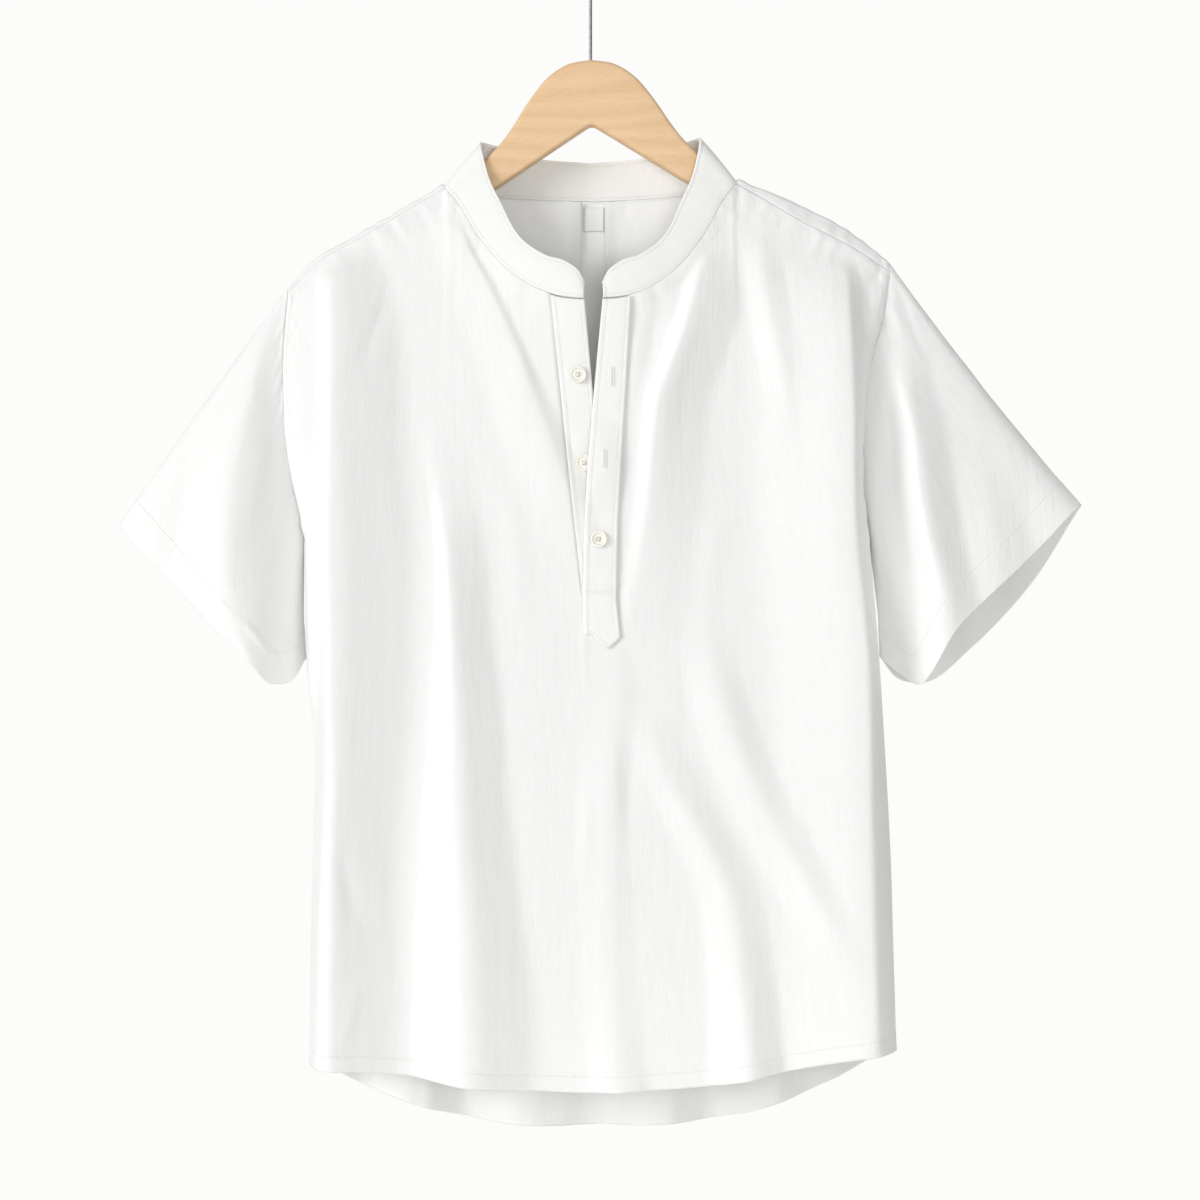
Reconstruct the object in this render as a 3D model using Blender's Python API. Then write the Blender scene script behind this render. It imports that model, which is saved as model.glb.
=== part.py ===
"""Short-sleeved band-collar popover shirt, hanging on a flat wooden hanger.

Metres, +Z up. The front faces -Y, and +X is to the right of the front view.
The origin is the inner top of the hook, where a rail or peg holds it.
Tables are in millimetres and are scaled by MM as a mesh is made.
"""

from math import cos, pi, radians, sin

import bmesh
import bpy
import numpy as np
from mathutils import Matrix, Vector

MM = 0.001

# ---- cloth and seams ----
CLOTH = 1.2
PLACKET_CLOTH = 1.6
COLLAR_CLOTH = 2.0
LABEL_CLOTH = 0.8
SEAM_GAP = 0.5
UNDERARM_GAP = 2.0
LAY_GAP = 0.8

# ---- grids ----
SIDE_COLUMNS = (0.0, 0.013, 0.05, 0.1)
SHOULDER_COLUMNS = (0.17, 0.25, 0.33, 0.41, 0.48, 0.54, 0.6)
NECK_COLUMNS = (0.66, 0.73, 0.8, 0.86, 0.93, 1.0)
NECK_POINT = 0.6
ARMHOLE_ROWS = 7
SIDE_ROWS = 14
SLOT_ROW = ARMHOLE_ROWS + 1
WRAP_ROWS = 6
SLEEVE_ROWS = 8
COLLAR_ROWS = 2

# ---- collar: half of it, front end to centre back, mirrored to both sides ----
# where, seam x, y, z, top x, y, z
COLLAR = (
    ("front end", 7.2, -36.5, -286.0, 7.0, -35.3, -275.0),
    ("curved corner", 14.0, -36.4, -285.8, 11.2, -35.0, -266.0),
    ("placket", 24.0, -35.8, -284.6, 20.5, -34.0, -258.6),
    ("front", 42.0, -33.6, -278.6, 35.0, -32.2, -253.8),
    ("front side", 64.0, -29.0, -264.0, 54.0, -27.0, -240.0),
    ("side front", 86.0, -21.5, -238.0, 69.5, -19.0, -211.0),
    ("neck side", 103.0, -13.0, -209.5, 80.0, -11.5, -185.5),
    ("shoulder", 111.5, -8.2, -198.8, 84.0, -6.0, -168.0),
    ("crest", 110.0, 0.5, -195.4, 84.5, 2.0, -162.6),
    ("behind crest", 107.5, 8.8, -197.5, 82.5, 8.5, -161.5),
    ("back side", 92.0, 16.0, -200.5, 75.0, 14.0, -162.5),
    ("back", 52.0, 24.5, -203.0, 46.0, 21.0, -171.0),
    ("centre back", 0.0, 28.0, -204.3, 0.0, 25.0, -174.8),
)
COLLAR_FRONT_SHIFT = 2.4
COLLAR_RIGHT_LIFT = 3.6
COLLAR_BULGE = 1.2
NECK_WIDEST = 111.5

# ---- shoulder seams, neck to sleeve: x, y, z, height of the crest over the seam ----
SHOULDER = {
    "left": (
        (-111.5, -8.2, -198.8, 3.4),
        (-147.3, -8.3, -219.6, 3.7),
        (-178.2, -8.3, -237.4, 3.7),
        (-213.0, -8.3, -258.4, 3.8),
        (-233.1, -8.2, -279.5, 4.0),
    ),
    "right": (
        (111.5, -8.2, -195.2, 3.8),
        (131.0, -9.5, -206.4, 7.5),
        (161.9, -11.5, -224.5, 12.4),
        (200.6, -11.5, -244.5, 12.2),
        (230.7, -9.0, -263.5, 7.0),
    ),
}
# armholes, shoulder to underarm: x, z, depth of the seam in front and behind
ARMHOLE = {
    "left": (
        (-233.1, -279.5, 8.2, 8.4),
        (-236.2, -314.9, 12.0, 13.0),
        (-236.2, -361.3, 14.0, 16.0),
        (-232.3, -407.7, 12.0, 15.0),
        (-224.6, -446.3, 7.0, 9.0),
        (-219.9, -469.5, 0.0, 0.0),
    ),
    "right": (
        (230.7, -263.5, 9.0, 8.4),
        (226.1, -291.7, 11.0, 13.0),
        (214.5, -338.1, 12.0, 16.0),
        (209.9, -384.5, 11.0, 15.0),
        (209.9, -430.9, 7.0, 9.0),
        (214.5, -469.5, 0.0, 0.0),
    ),
}
# side seams, underarm to hem: x, z
SIDE = {
    "left": (
        (-219.9, -469.5),
        (-218.4, -562.0),
        (-212.2, -640.0),
        (-213.7, -709.0),
        (-215.3, -786.0),
        (-216.0, -873.0),
    ),
    "right": (
        (214.5, -469.5),
        (222.2, -560.0),
        (226.9, -640.0),
        (230.7, -709.0),
        (233.1, -786.0),
        (235.4, -862.0),
    ),
}
# hems across the body: x, front z, back z
HEM = (
    (-216.0, -873.0, -873.0),
    (-185.0, -874.5, -895.0),
    (-140.0, -879.0, -911.0),
    (-92.0, -886.5, -924.0),
    (-40.0, -890.5, -929.0),
    (0.0, -892.0, -929.6),
    (50.0, -890.0, -928.0),
    (94.0, -886.5, -924.5),
    (140.0, -878.0, -913.0),
    (187.0, -869.0, -895.0),
    (235.4, -862.0, -862.0),
)
# how far the body stands off its middle plane: z, front, back
DEPTH = (
    (-200.0, 22.0, 22.0),
    (-290.0, 27.0, 24.0),
    (-400.0, 25.0, 26.0),
    (-550.0, 22.0, 24.0),
    (-720.0, 21.0, 24.0),
    (-930.0, 24.0, 28.0),
)
HEM_FRONT, HEM_BACK = 1, 2
SIDE_ROUND = {"left": 20.0, "right": 9.0}
DEPTH_FALL = 75.0
CENTRE_SWELL = 5.0

# ---- large folds, each listed down its crest: z, crest x, the reach of its left and
# ---- right flanks, its rise
FRONT_FOLDS = (
    (
        "left drape",
        (
            (-235.6, -204.4, 10, 34, 3),
            (-258.4, -200.6, 12, 46, 10),
            (-287.4, -198.3, 12, 56, 14),
            (-352.1, -197.6, 13, 62, 16),
            (-416.9, -198.3, 12, 66, 17),
            (-485.4, -199.1, 12, 75, 19),
            (-570, -197.6, 13, 72, 19),
            (-682.7, -202.1, 13, 65, 19),
            (-782.5, -205.2, 14, 68, 21),
            (-896.7, -207.5, 14, 73, 23),
        ),
    ),
    (
        "left centre drape",
        (
            (-378.8, -123.7, 10, 30, 0),
            (-439.7, -113.8, 10, 32, 3),
            (-485.4, -109.2, 10, 34, 9),
            (-546.3, -106.2, 13, 36, 12),
            (-598.1, -103.1, 21, 41, 13),
            (-682.7, -100.1, 33, 44, 14),
            (-739.1, -96.2, 40, 48, 15),
            (-820.6, -94.7, 44, 59, 18),
            (-904.3, -94, 46, 62, 18),
        ),
    ),
    (
        "pull from left neck",
        (
            (-208.1, -109.2, 20, 5, 0),
            (-234, -99.3, 30, 6, 2.5),
            (-287.4, -73.4, 36, 8, 3),
            (-312.5, -62.7, 38, 9, 3.5),
            (-367.3, -41.4, 40, 13, 4.5),
            (-409.2, -26.9, 40, 18, 5),
            (-454.9, -14.7, 40, 22, 3),
            (-496.8, -6.4, 40, 24, 0),
        ),
    ),
    (
        "pull from right neck",
        (
            (-241.7, 92.7, 12, 22, 0),
            (-264.5, 85, 12, 34, 5),
            (-287.4, 78.2, 12, 44, 10),
            (-325.4, 65.2, 11, 44, 12),
            (-363.5, 50.8, 10, 46, 12),
            (-401.6, 46.2, 10, 48, 10),
            (-439.7, 43.1, 10, 48, 8),
            (-485.4, 37.8, 12, 48, 4),
            (-523.5, 31.7, 14, 50, 2),
            (-557.8, 27.1, 14, 46, 0),
        ),
    ),
    (
        "right chest",
        (
            (-249.3, 194.7, 60, 12, 0),
            (-287.4, 196.2, 76, 12, 11),
            (-363.5, 199.3, 84, 12, 17),
            (-454.9, 200.8, 84, 12, 18),
            (-554, 210, 84, 13, 16),
            (-691.1, 213, 78, 14, 13),
            (-896.7, 219.1, 75, 14, 12),
        ),
    ),
    (
        "right waist fall",
        (
            (-588.2, 36.3, 14, 20, 0),
            (-626.3, 48.5, 20, 26, 2),
            (-668.2, 68.3, 24, 27, 4),
            (-724.6, 100.3, 28, 27, 5.5),
            (-795.4, 114, 30, 29, 8),
            (-904.3, 122.4, 34, 33, 13),
        ),
    ),
    (
        "right hip fall",
        (
            (-523.5, 88.1, 20, 20, 0),
            (-561.6, 93.4, 26, 22, 2.5),
            (-592, 100.3, 30, 24, 5),
            (-654.5, 123.1, 32, 26, 5),
            (-733.7, 164.3, 30, 24, 4.5),
            (-774.9, 186.3, 26, 20, 2),
            (-809.1, 197.8, 22, 20, 0),
        ),
    ),
    (
        "hem centre",
        (
            (-546.3, 16.5, 30, 16, 0),
            (-592, 21.1, 30, 18, 1.5),
            (-660.6, 15.7, 30, 16, 3),
            (-744.4, 14.2, 26, 20, 2),
            (-820.6, 16.5, 26, 24, 2.5),
            (-904.3, 24.1, 26, 26, 6),
        ),
    ),
    (
        "right shoulder",
        (
            (-232.5, 130.7, 18, 16, 0),
            (-264.5, 132.3, 18, 18, 4),
            (-302.6, 136.8, 18, 20, 4),
            (-355.9, 148.3, 18, 20, 2),
            (-386.4, 152.1, 18, 20, 0),
        ),
    ),
)
BACK_FOLDS = (
    (
        "left blade",
        (
            (-300, -168, 34, 26, 0),
            (-400, -166, 36, 30, 8),
            (-620, -168, 42, 32, 13),
            (-860, -174, 50, 36, 17),
            (-980, -176, 50, 36, 17),
        ),
    ),
    (
        "left waist",
        (
            (-470, -84, 26, 34, 0),
            (-620, -92, 30, 38, 10),
            (-800, -96, 34, 42, 14),
            (-980, -98, 34, 44, 15),
        ),
    ),
    (
        "right waist",
        (
            (-430, 78, 30, 26, 0),
            (-600, 90, 34, 28, 9),
            (-800, 97, 38, 30, 14),
            (-980, 98, 42, 32, 16),
        ),
    ),
    (
        "right blade",
        (
            (-290, 172, 24, 34, 0),
            (-400, 169, 26, 36, 8),
            (-620, 170, 30, 40, 12),
            (-860, 176, 34, 46, 15),
            (-980, 178, 34, 48, 15),
        ),
    ),
    (
        "pleat fall",
        (
            (-430, 2, 40, 40, 0),
            (-620, 2, 44, 44, 7),
            (-800, 2, 48, 48, 10),
            (-980, 2, 52, 52, 12),
        ),
    ),
)
SLEEVE_FOLDS = {
    "left": (
        (
            "recess",
            (
                (-280, -238, 30, 8, 4),
                (-320, -251, 34, 18, 9),
                (-370, -267, 36, 30, 13),
                (-441, -280, 38, 42, 16),
                (-500, -280, 40, 42, 15),
                (-544, -273, 40, 38, 12),
                (-600, -266, 44, 40, 9),
            ),
        ),
        (
            "outer fall",
            (
                (-352, -292, 24, 34, 0),
                (-410, -312, 26, 36, 3),
                (-480, -336, 28, 38, 5),
                (-530, -354, 28, 40, 5),
            ),
        ),
    ),
    "right": (
        (
            "ridge",
            (
                (-285, 228, 8, 24, 1),
                (-303, 231, 10, 26, 5),
                (-347, 238, 11, 28, 9),
                (-377, 245, 12, 30, 11),
                (-438, 252, 13, 32, 13),
                (-469, 258, 15, 32, 13),
                (-500, 266, 20, 32, 12),
                (-531, 272, 26, 34, 11),
                (-600, 280, 30, 36, 9),
            ),
        ),
        (
            "inner fold",
            (
                (-316, 219, 14, 8, 0),
                (-347, 225, 14, 9, -6),
                (-377, 232, 18, 10, -14),
                (-438, 236, 22, 12, -24),
                (-469, 240, 24, 13, -26),
                (-500, 244, 26, 14, -24),
                (-531, 246, 28, 16, -18),
                (-600, 246, 28, 18, -10),
            ),
        ),
        (
            "outer fall",
            (
                (-372, 300, 26, 30, 0),
                (-430, 306, 28, 32, 3),
                (-500, 314, 30, 34, 5),
                (-570, 324, 32, 34, 5),
            ),
        ),
    ),
}
RAMP_SOFT = 0.25
# centre-back box pleat: the inner and outer fold lines, and where it has opened out
PLEAT_CENTRE = 2.4
PLEAT_INNER = 9.4
PLEAT_OUTER = 17.5
PLEAT_LAYER = 2.2
PLEAT_SHUT_Z = -300.0
PLEAT_OPEN_Z = -560.0
PLEAT_FLAT_Z = -620.0
PLEAT_EDGE = 26.0
PLEAT_TUCK = 1.0
# from the edge to the middle: a fold line's offset shut, its offset open, its layer
PLEAT_FOLDS = (
    (PLEAT_INNER, 22.0, 0),
    (PLEAT_INNER, 18.0, 0.75),
    (PLEAT_OUTER, 14.0, 1.25),
    (PLEAT_OUTER, 9.0, 2),
)

# ---- sleeve hems from the crest fold to the underarm: x, y, z ----
SLEEVE_HEM = {
    "left": {
        "front": (
            (-363.7, 0.0, -458.7),
            (-361.5, -3.4, -461.0),
            (-326.0, -14.0, -497.5),
            (-282.0, -26.0, -542.0),
            (-258.5, -27.0, -565.5),
            (-247.5, -20.0, -579.0),
            (-233.5, -8.0, -579.6),
            (-220.8, 10.0, -561.0),
        ),
        "back": (
            (-363.7, 0.0, -458.7),
            (-361.0, 3.4, -460.5),
            (-328.0, 15.0, -493.0),
            (-284.0, 26.0, -538.0),
            (-254.0, 30.0, -570.0),
            (-234.0, 26.0, -574.0),
            (-220.8, 10.0, -561.0),
        ),
    },
    "right": {
        "front": (
            (379.2, 0.0, -443.2),
            (376.5, -3.4, -445.0),
            (343.0, -12.0, -478.5),
            (303.0, -22.0, -515.0),
            (277.0, -27.0, -541.0),
            (263.0, -23.0, -567.5),
            (254.0, -12.0, -581.0),
            (239.0, 0.0, -573.0),
            (224.6, 10.0, -560.0),
        ),
        "back": (
            (379.2, 0.0, -443.2),
            (377.5, 3.4, -446.5),
            (345.5, 16.0, -500.0),
            (299.0, 26.0, -552.5),
            (262.0, 28.0, -580.5),
            (241.0, 24.0, -578.0),
            (224.6, 10.0, -560.0),
        ),
    },
}
SLEEVE_TOP_SAG = {"left": 2.2, "right": -4.5}
SLEEVE_SWELL = 7.0
UNDERARM_STAND = 1.5
CREST_SHARE = 0.05

# ---- half placket: z, then the edges of the under and the over strip ----
# z, under left, under right, over left, over right
PLACKET = (
    (-283.0, -30.5, -4.8, 9.6, 31.0),
    (-357.0, -22.8, 1.8, 2.7, 26.8),
    (-411.0, -17.4, 5.0, -1.9, 23.4),
    (-454.0, -12.6, 8.0, -4.3, 21.0),
    (-516.0, -5.8, 12.0, -5.8, 19.8),
    (-541.0, -5.4, 12.0, -5.4, 22.4),
)
OVER_LAP = 2.5
TAB_FOOT_Z = -541.0
TAB_POINT = (13.0, -553.5)
PLACKET_ROWS = 18
PLACKET_COLUMNS = 3
NECK_CLEAR = 1.3
UNDER_SIDE_GAP = 1.2
TAB_SLOPE = 0.95
# ---- buttons: name, x, z, lies on ----
BUTTONS = (
    ("button_1", -9.5, -344.5, "under"),
    ("button_2", -4.8, -411.6, "under"),
    ("button_3", 5.6, -469.5, "over"),
)
BUTTON_RADIUS = 6.2
BUTTON_THICK = 2.4
BUTTON_DISH = 0.8
BUTTON_RIM = 1.3
BUTTON_SEGMENTS = 16
HOLE_RADIUS = 0.75
HOLE_SPACING = 1.35
HOLE_SEGMENTS = 6
BUTTON_HUMP = 3.2
BUTTON_HUMP_REACH = 42.0
BUTTON_HUMP_FLAT = 0.36

# ---- blank neck label ----
LABEL_WIDTH = 15.5
LABEL_TOP_Z = -208.5
LABEL_HEIGHT = 19.0
LABEL_GAP = 1.0

# ---- hanger board: half outline from the centre outwards, x, z ----
BOARD_TOP = (
    (0.0, -99.2),
    (17.5, -102.3),
    (33.6, -112.4),
    (43.7, -124.0),
    (53.0, -137.1),
    (61.5, -150.2),
    (69.5, -160.8),
    (80.0, -172.0),
    (95.0, -187.0),
    (106.0, -196.5),
    (118.0, -201.8),
    (147.3, -215.0),
    (178.2, -231.8),
    (203.0, -246.5),
)
BOARD_FOOT = ((212.0, -258.0), (206.0, -266.0), (112.0, -217.5), (74.6, -196.8), (3.0, -151.2))
BOARD_APEX_Z = -149.8
BOARD_THICK = 13.0
BOARD_ROUND = 3.0
BOARD_TILT = radians(1.2)
BOARD_STEPS = 22

# ---- hook ----
WIRE_RADIUS = 1.25
HOOK_RADIUS = 19.0
HOOK_TIP = radians(-28)
HOOK_TURN = radians(262)
STEM_START_Z = -49.0
STEM_DEPTH = 16.0
STEM_CLEAR = 0.35
HOOK_STEPS = 26

SIDES = (("left", -1.0), ("right", 1.0))

COLOURS = {
    "cloth": ((0.86, 0.86, 0.84), 0.85),
    "label": ((0.9, 0.89, 0.86), 0.8),
    "button": ((0.86, 0.83, 0.72), 0.35),
    "wood": ((0.78, 0.55, 0.33), 0.45),
    "wire": ((0.6, 0.6, 0.6), 0.3),
}


def along(rows, share):
    """Points at the given shares of the length of a smooth curve through the rows."""
    rows = np.asarray(rows, float)
    steps = np.linalg.norm(np.diff(rows, axis=0), axis=1)
    knots = np.concatenate([[0.0], np.cumsum(steps)]) / steps.sum()
    return smooth(knots, rows, share)


def smooth(knots, values, at):
    """Smooth interpolation of values, one row to a knot, with the knots rising."""
    knots = np.asarray(knots, float)
    values = np.asarray(values, float)
    at = np.clip(np.asarray(at, float), knots[0], knots[-1])
    slopes = np.gradient(values, knots, axis=0)
    i = np.clip(np.searchsorted(knots, at, side="right") - 1, 0, len(knots) - 2)
    width = knots[i + 1] - knots[i]
    t = (at - knots[i]) / width
    if values.ndim > 1:
        t, width = t[..., None], width[..., None]
    return (
        values[i] * (1 + 2 * t) * (1 - t) ** 2
        + slopes[i] * width * t * (1 - t) ** 2
        + values[i + 1] * t * t * (3 - 2 * t)
        - slopes[i + 1] * width * t * t * (1 - t)
    )


def falling(rows, z, column):
    """One column of a table that is listed from its highest z down."""
    rows = np.asarray(rows, float)[::-1]
    z_column = 0 if column > 0 else 1
    return smooth(rows[:, z_column], rows[:, column], z)


def ease(t):
    t = np.clip(t, 0.0, 1.0)
    return t * t * (3 - 2 * t)


def ramp(share):
    """A soft-ended ramp from 0 to 1, straight between its ends."""
    share = np.clip(share, 0.0, 1.0)
    bend = 2 * RAMP_SOFT * (1 - RAMP_SOFT)
    straight = (share - RAMP_SOFT / 2) / (1 - RAMP_SOFT)
    upper = np.where(share > 1 - RAMP_SOFT, 1 - (1 - share) ** 2 / bend, straight)
    return np.where(share < RAMP_SOFT, share**2 / bend, upper)


def fold_rise(folds, x, z):
    """The rise of all the folds at x, z: ridges with two unequal, nearly flat flanks."""
    x, z = np.broadcast_arrays(x, z)
    total = np.zeros(x.shape)
    for _, rows in folds:
        crest, left, right, rise = (falling(rows, z, column) for column in (1, 2, 3, 4))
        off = x - crest
        lowest = min(0.0, min(row[4] for row in rows))
        highest = None if lowest == 0 else 0.0
        height = np.clip(rise, lowest, highest)
        total += height * ramp(1 - np.abs(off) / np.where(off < 0, left, right))
    return total


# ---- the seams ----


def collar_curves(side, share):
    """Seam and top points of the collar on one side, front end to centre back."""
    table = np.array([row[1:] for row in COLLAR])
    steps = np.linalg.norm(np.diff(table[:, :3], axis=0), axis=1)
    knots = np.concatenate([[0.0], np.cumsum(steps)]) / steps.sum()
    rows = smooth(knots, table, share)
    out = []
    for part in (rows[:, :3], rows[:, 3:]):
        part = part.copy()
        forward = np.clip(-part[:, 1] / 36.0, 0.0, 1.0) ** 2
        part[:, 2] += COLLAR_RIGHT_LIFT * (side > 0) * (rows[:, 0] / NECK_WIDEST) ** 2
        part[:, 0] = side * part[:, 0] + COLLAR_FRONT_SHIFT * forward
        out.append(part)
    return out


def collar_share(where):
    """The share of the collar seam's length at a named row of its table."""
    seam = np.array([row[1:4] for row in COLLAR])
    steps = np.linalg.norm(np.diff(seam, axis=0), axis=1)
    knots = np.concatenate([[0.0], np.cumsum(steps)]) / steps.sum()
    return knots[[row[0] for row in COLLAR].index(where)]


def shoulder_line(name, share):
    """Shoulder seam points and crest rise, from the neck (0) to the sleeve (1)."""
    rows = np.array(SHOULDER[name])
    steps = np.linalg.norm(np.diff(rows[:, :3], axis=0), axis=1)
    knots = np.concatenate([[0.0], np.cumsum(steps)]) / steps.sum()
    return smooth(knots, rows, share)


def edge_x(name, z):
    """x of the panel's side: the armhole above the underarm, the side seam below."""
    hole = np.array(ARMHOLE[name])[::-1]
    seam = np.array(SIDE[name])[::-1]
    return np.where(
        z > hole[0, 1], smooth(hole[:, 1], hole[:, 0], z), smooth(seam[:, 1], seam[:, 0], z)
    )


def edge_depth(name, z, back):
    """How far the armhole seam stands off the middle plane, in front or behind."""
    hole = np.array(ARMHOLE[name])[::-1]
    depth = np.interp(z, hole[:, 1], hole[:, 3 if back else 2])
    return np.where(z > hole[0, 1], depth, 0.0)


def slot_x(side, z):
    """x of the front's slot edge on one side, down to the slot's foot."""
    rows = np.array(PLACKET)[::-1]
    if side < 0:
        return np.interp(z, rows[:, 0], rows[:, 1])
    return np.interp(z, rows[:, 0], rows[:, 4]) - OVER_LAP


def neckline_share(side):
    """The share of the collar seam at which the slot's edge meets it."""
    shares = np.linspace(0.0, collar_share("front side"), 200)
    seam = collar_curves(side, shares)[0]
    slot = abs(slot_x(side, PLACKET[0][0]))
    return shares[np.argmin(np.abs(np.abs(seam[:, 0]) - slot))]


def front_top(name, side, u):
    """The front's upper edge on one side: the shoulder seam, then the neckline."""
    u = np.asarray(u, float)
    shoulder = shoulder_line(name, np.clip(1 - u / NECK_POINT, 0, 1))[:, :3]
    neck, slot = collar_share("shoulder"), neckline_share(side)
    down = np.clip((u - NECK_POINT) / (1 - NECK_POINT), 0, 1)
    neckline = collar_curves(side, neck + (slot - neck) * down)[0]
    return np.where((u < NECK_POINT)[:, None], shoulder, neckline)


def upper_edges():
    """Sampled upper edges of the front and of the back, as x, y, z rising in x."""
    fine = np.linspace(0, 1, 160)
    ends = [collar_curves(side, np.linspace(0, neckline_share(side), 12))[0] for _, side in SIDES]
    tops = [front_top(name, side, fine) for name, side in SIDES]
    front = np.vstack([tops[0], ends[0][::-1], ends[1], tops[1][::-1]])
    behind = collar_share("behind crest")
    halves = []
    for name, side in SIDES:
        line = shoulder_line(name, fine)[::-1]
        line[:, 2] += line[:, 3] - WRAP_DROP
        line[:, 1] = WRAP_HALF
        neck = collar_curves(side, np.linspace(behind, 1, 60))[0]
        halves.append(np.vstack([line[:, :3], neck]))
    back = np.vstack([halves[0], halves[1][::-1]])
    return front[np.argsort(front[:, 0], kind="stable")], back[np.argsort(back[:, 0], kind="stable")]


# ---- the way over the hanger: y and drop below the crest ----
WRAP_HALF = 8.4
WRAP_DROP = 5.2
WRAP_TURN = ((-6.7, 1.5), (-2.6, 0.0), (2.6, 0.0), (6.7, 1.5))
LAP_FROM = 3.4
LAP_REACH = 9.0
NECK_FALL = 7.0
NECK_STAND = 3.6
EVEN_OUT = 260.0
FRONT_EDGE, BACK_EDGE = upper_edges()


def stand_off(x, z, back):
    """Smooth depth of the body, round at its sides, before its folds."""
    depth = falling(DEPTH, z, 2 if back else 1) + CENTRE_SWELL * (1 - (x / 220.0) ** 2)
    rounding = np.ones(np.broadcast(x, z).shape)
    for name, side in SIDES:
        off = np.clip(side * (edge_x(name, z) - x) / SIDE_ROUND[name], 0.0, 1.0)
        rounding = rounding * np.sqrt(1 - (1 - off) ** 2)
    nearest = np.where(x < 0, edge_depth("left", z, back), edge_depth("right", z, back))
    return nearest + (depth - nearest) * rounding, rounding


def panel_y(x, z, back=False):
    """y of the front's or the back's mid-surface, folds and all."""
    x, z = np.asarray(x, float), np.asarray(z, float)
    edge = BACK_EDGE if back else FRONT_EDGE
    top_y = np.abs(np.interp(x, edge[:, 0], edge[:, 1]))
    below = np.clip(np.interp(x, edge[:, 0], edge[:, 2]) - z, 0.0, None)
    full, rounding = stand_off(x, z, back)
    depth = top_y + (full - top_y) * (1 - np.exp(-below / DEPTH_FALL))
    folds = fold_rise(BACK_FOLDS if back else FRONT_FOLDS, x, z)
    depth = depth + folds * rounding * ease(below / 26.0)
    return depth if back else -depth


# ---- panels as grids of mid-surface points ----


def row_heights(name, armhole_top):
    """z of the rows on one side edge: down the armhole, then down the side seam."""
    under, hem = SIDE[name][0][1], SIDE[name][-1][1]
    hole = armhole_top + (under - armhole_top) * np.linspace(0, 1, ARMHOLE_ROWS + 1)
    return np.concatenate([hole, under + (hem - under) * np.linspace(0, 1, SIDE_ROWS + 1)[1:]])


def blended_share(x, tops):
    """The rows' shares of the way to the hem, blended from the left to the right side."""
    ends = [SHOULDER[name][-1][0] for name, _ in SIDES]
    shares = []
    for (name, _), top in zip(SIDES, tops):
        z = row_heights(name, top)
        shares.append((z - z[0]) / (z[-1] - z[0]))
    reach = np.clip((x - ends[0]) / (ends[1] - ends[0]), 0.0, 1.0)
    return shares[0][:, None] * (1 - reach) + shares[1][:, None] * reach


def spread(name, top, tops, inner, back):
    """x and z of half a panel: its outer columns follow the side's line, and the others
    even out downwards between them and the inner line, whose x is given for each z."""
    last_outer = len(SIDE_COLUMNS) - 1
    offset = top[: last_outer + 1, 0] - top[0, 0]
    own = (top[last_outer:, 0] - top[last_outer, 0]) / (top[-1, 0] - top[last_outer, 0])
    even = np.linspace(0, 1, len(own))

    def x_at(z):
        x = edge_x(name, z)
        loose = ease((top[last_outer:, 2] - z[:, last_outer:]) / EVEN_OUT)
        outer = x[:, last_outer:] + offset[-1]
        share = own * (1 - loose) + even * loose
        rest = outer + (inner(z[:, last_outer:]) - outer) * share
        return np.hstack([x[:, :last_outer] + offset[:-1], rest])

    hem = np.array(HEM)
    hem_z = np.full((1, len(top)), hem[:, 1].mean())
    for _ in range(3):
        hem_z = smooth(hem[:, 0], hem[:, HEM_BACK if back else HEM_FRONT], x_at(hem_z))
    z = top[:, 2] + (hem_z - top[:, 2]) * blended_share(top[:, 0], tops)
    return x_at(z), z


def foot_z():
    """z of the slot's foot, on a row of the front's grid."""
    tops = [ARMHOLE[name][0][1] for name, _ in SIDES]
    share = blended_share(np.array([0.0]), tops)[SLOT_ROW, 0]
    neck_z, hem_z = COLLAR[2][3], HEM[5][1]
    return neck_z + (hem_z - neck_z) * share


def front_panel():
    """Grid of the front, with a slot for the placket, and its mask of faces."""
    u = np.array(SIDE_COLUMNS + SHOULDER_COLUMNS + NECK_COLUMNS)
    tops = [ARMHOLE[name][0][1] for name, _ in SIDES]
    foot = foot_z()
    halves = []
    for name, side in SIDES:
        top = front_top(name, side, u)
        x, z = spread(name, top, tops, lambda at, side=side: slot_x(side, np.maximum(at, foot)), back=False)
        y = panel_y(x, z)
        x[0], y[0], z[0] = top.T
        y[:, 0] = -edge_depth(name, z[:, 0], back=False)
        halves.append(np.stack([x, y, z], axis=-1))
    left, right = halves[0], halves[1][:, ::-1]
    middle = (left[:, -1] + right[:, 0]) / 2
    middle[:, 1] = panel_y(middle[:, 0], middle[:, 2])
    points = np.concatenate([left, middle[:, None], right], axis=1)
    faces = np.ones((points.shape[0] - 1, points.shape[1] - 1), bool)
    slot = len(u) - 1
    faces[:SLOT_ROW, slot : slot + 2] = False
    return points, faces


def neck_shares(side):
    """Shares of the collar seam, over the crest and round to the pleat's fold lines."""
    crest, behind = collar_share("crest"), collar_share("behind crest")
    fine = np.linspace(behind, 1, 400)
    x = collar_curves(side, fine)[0][:, 0]
    offsets = (PLEAT_EDGE, PLEAT_OUTER, PLEAT_INNER)
    lines = [fine[np.argmin(np.abs(x - PLEAT_CENTRE - side * offset))] for offset in offsets]
    free = behind + (lines[0] - behind) * np.array([0.36, 0.7])
    return np.concatenate([[crest, behind], free, lines])


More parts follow.
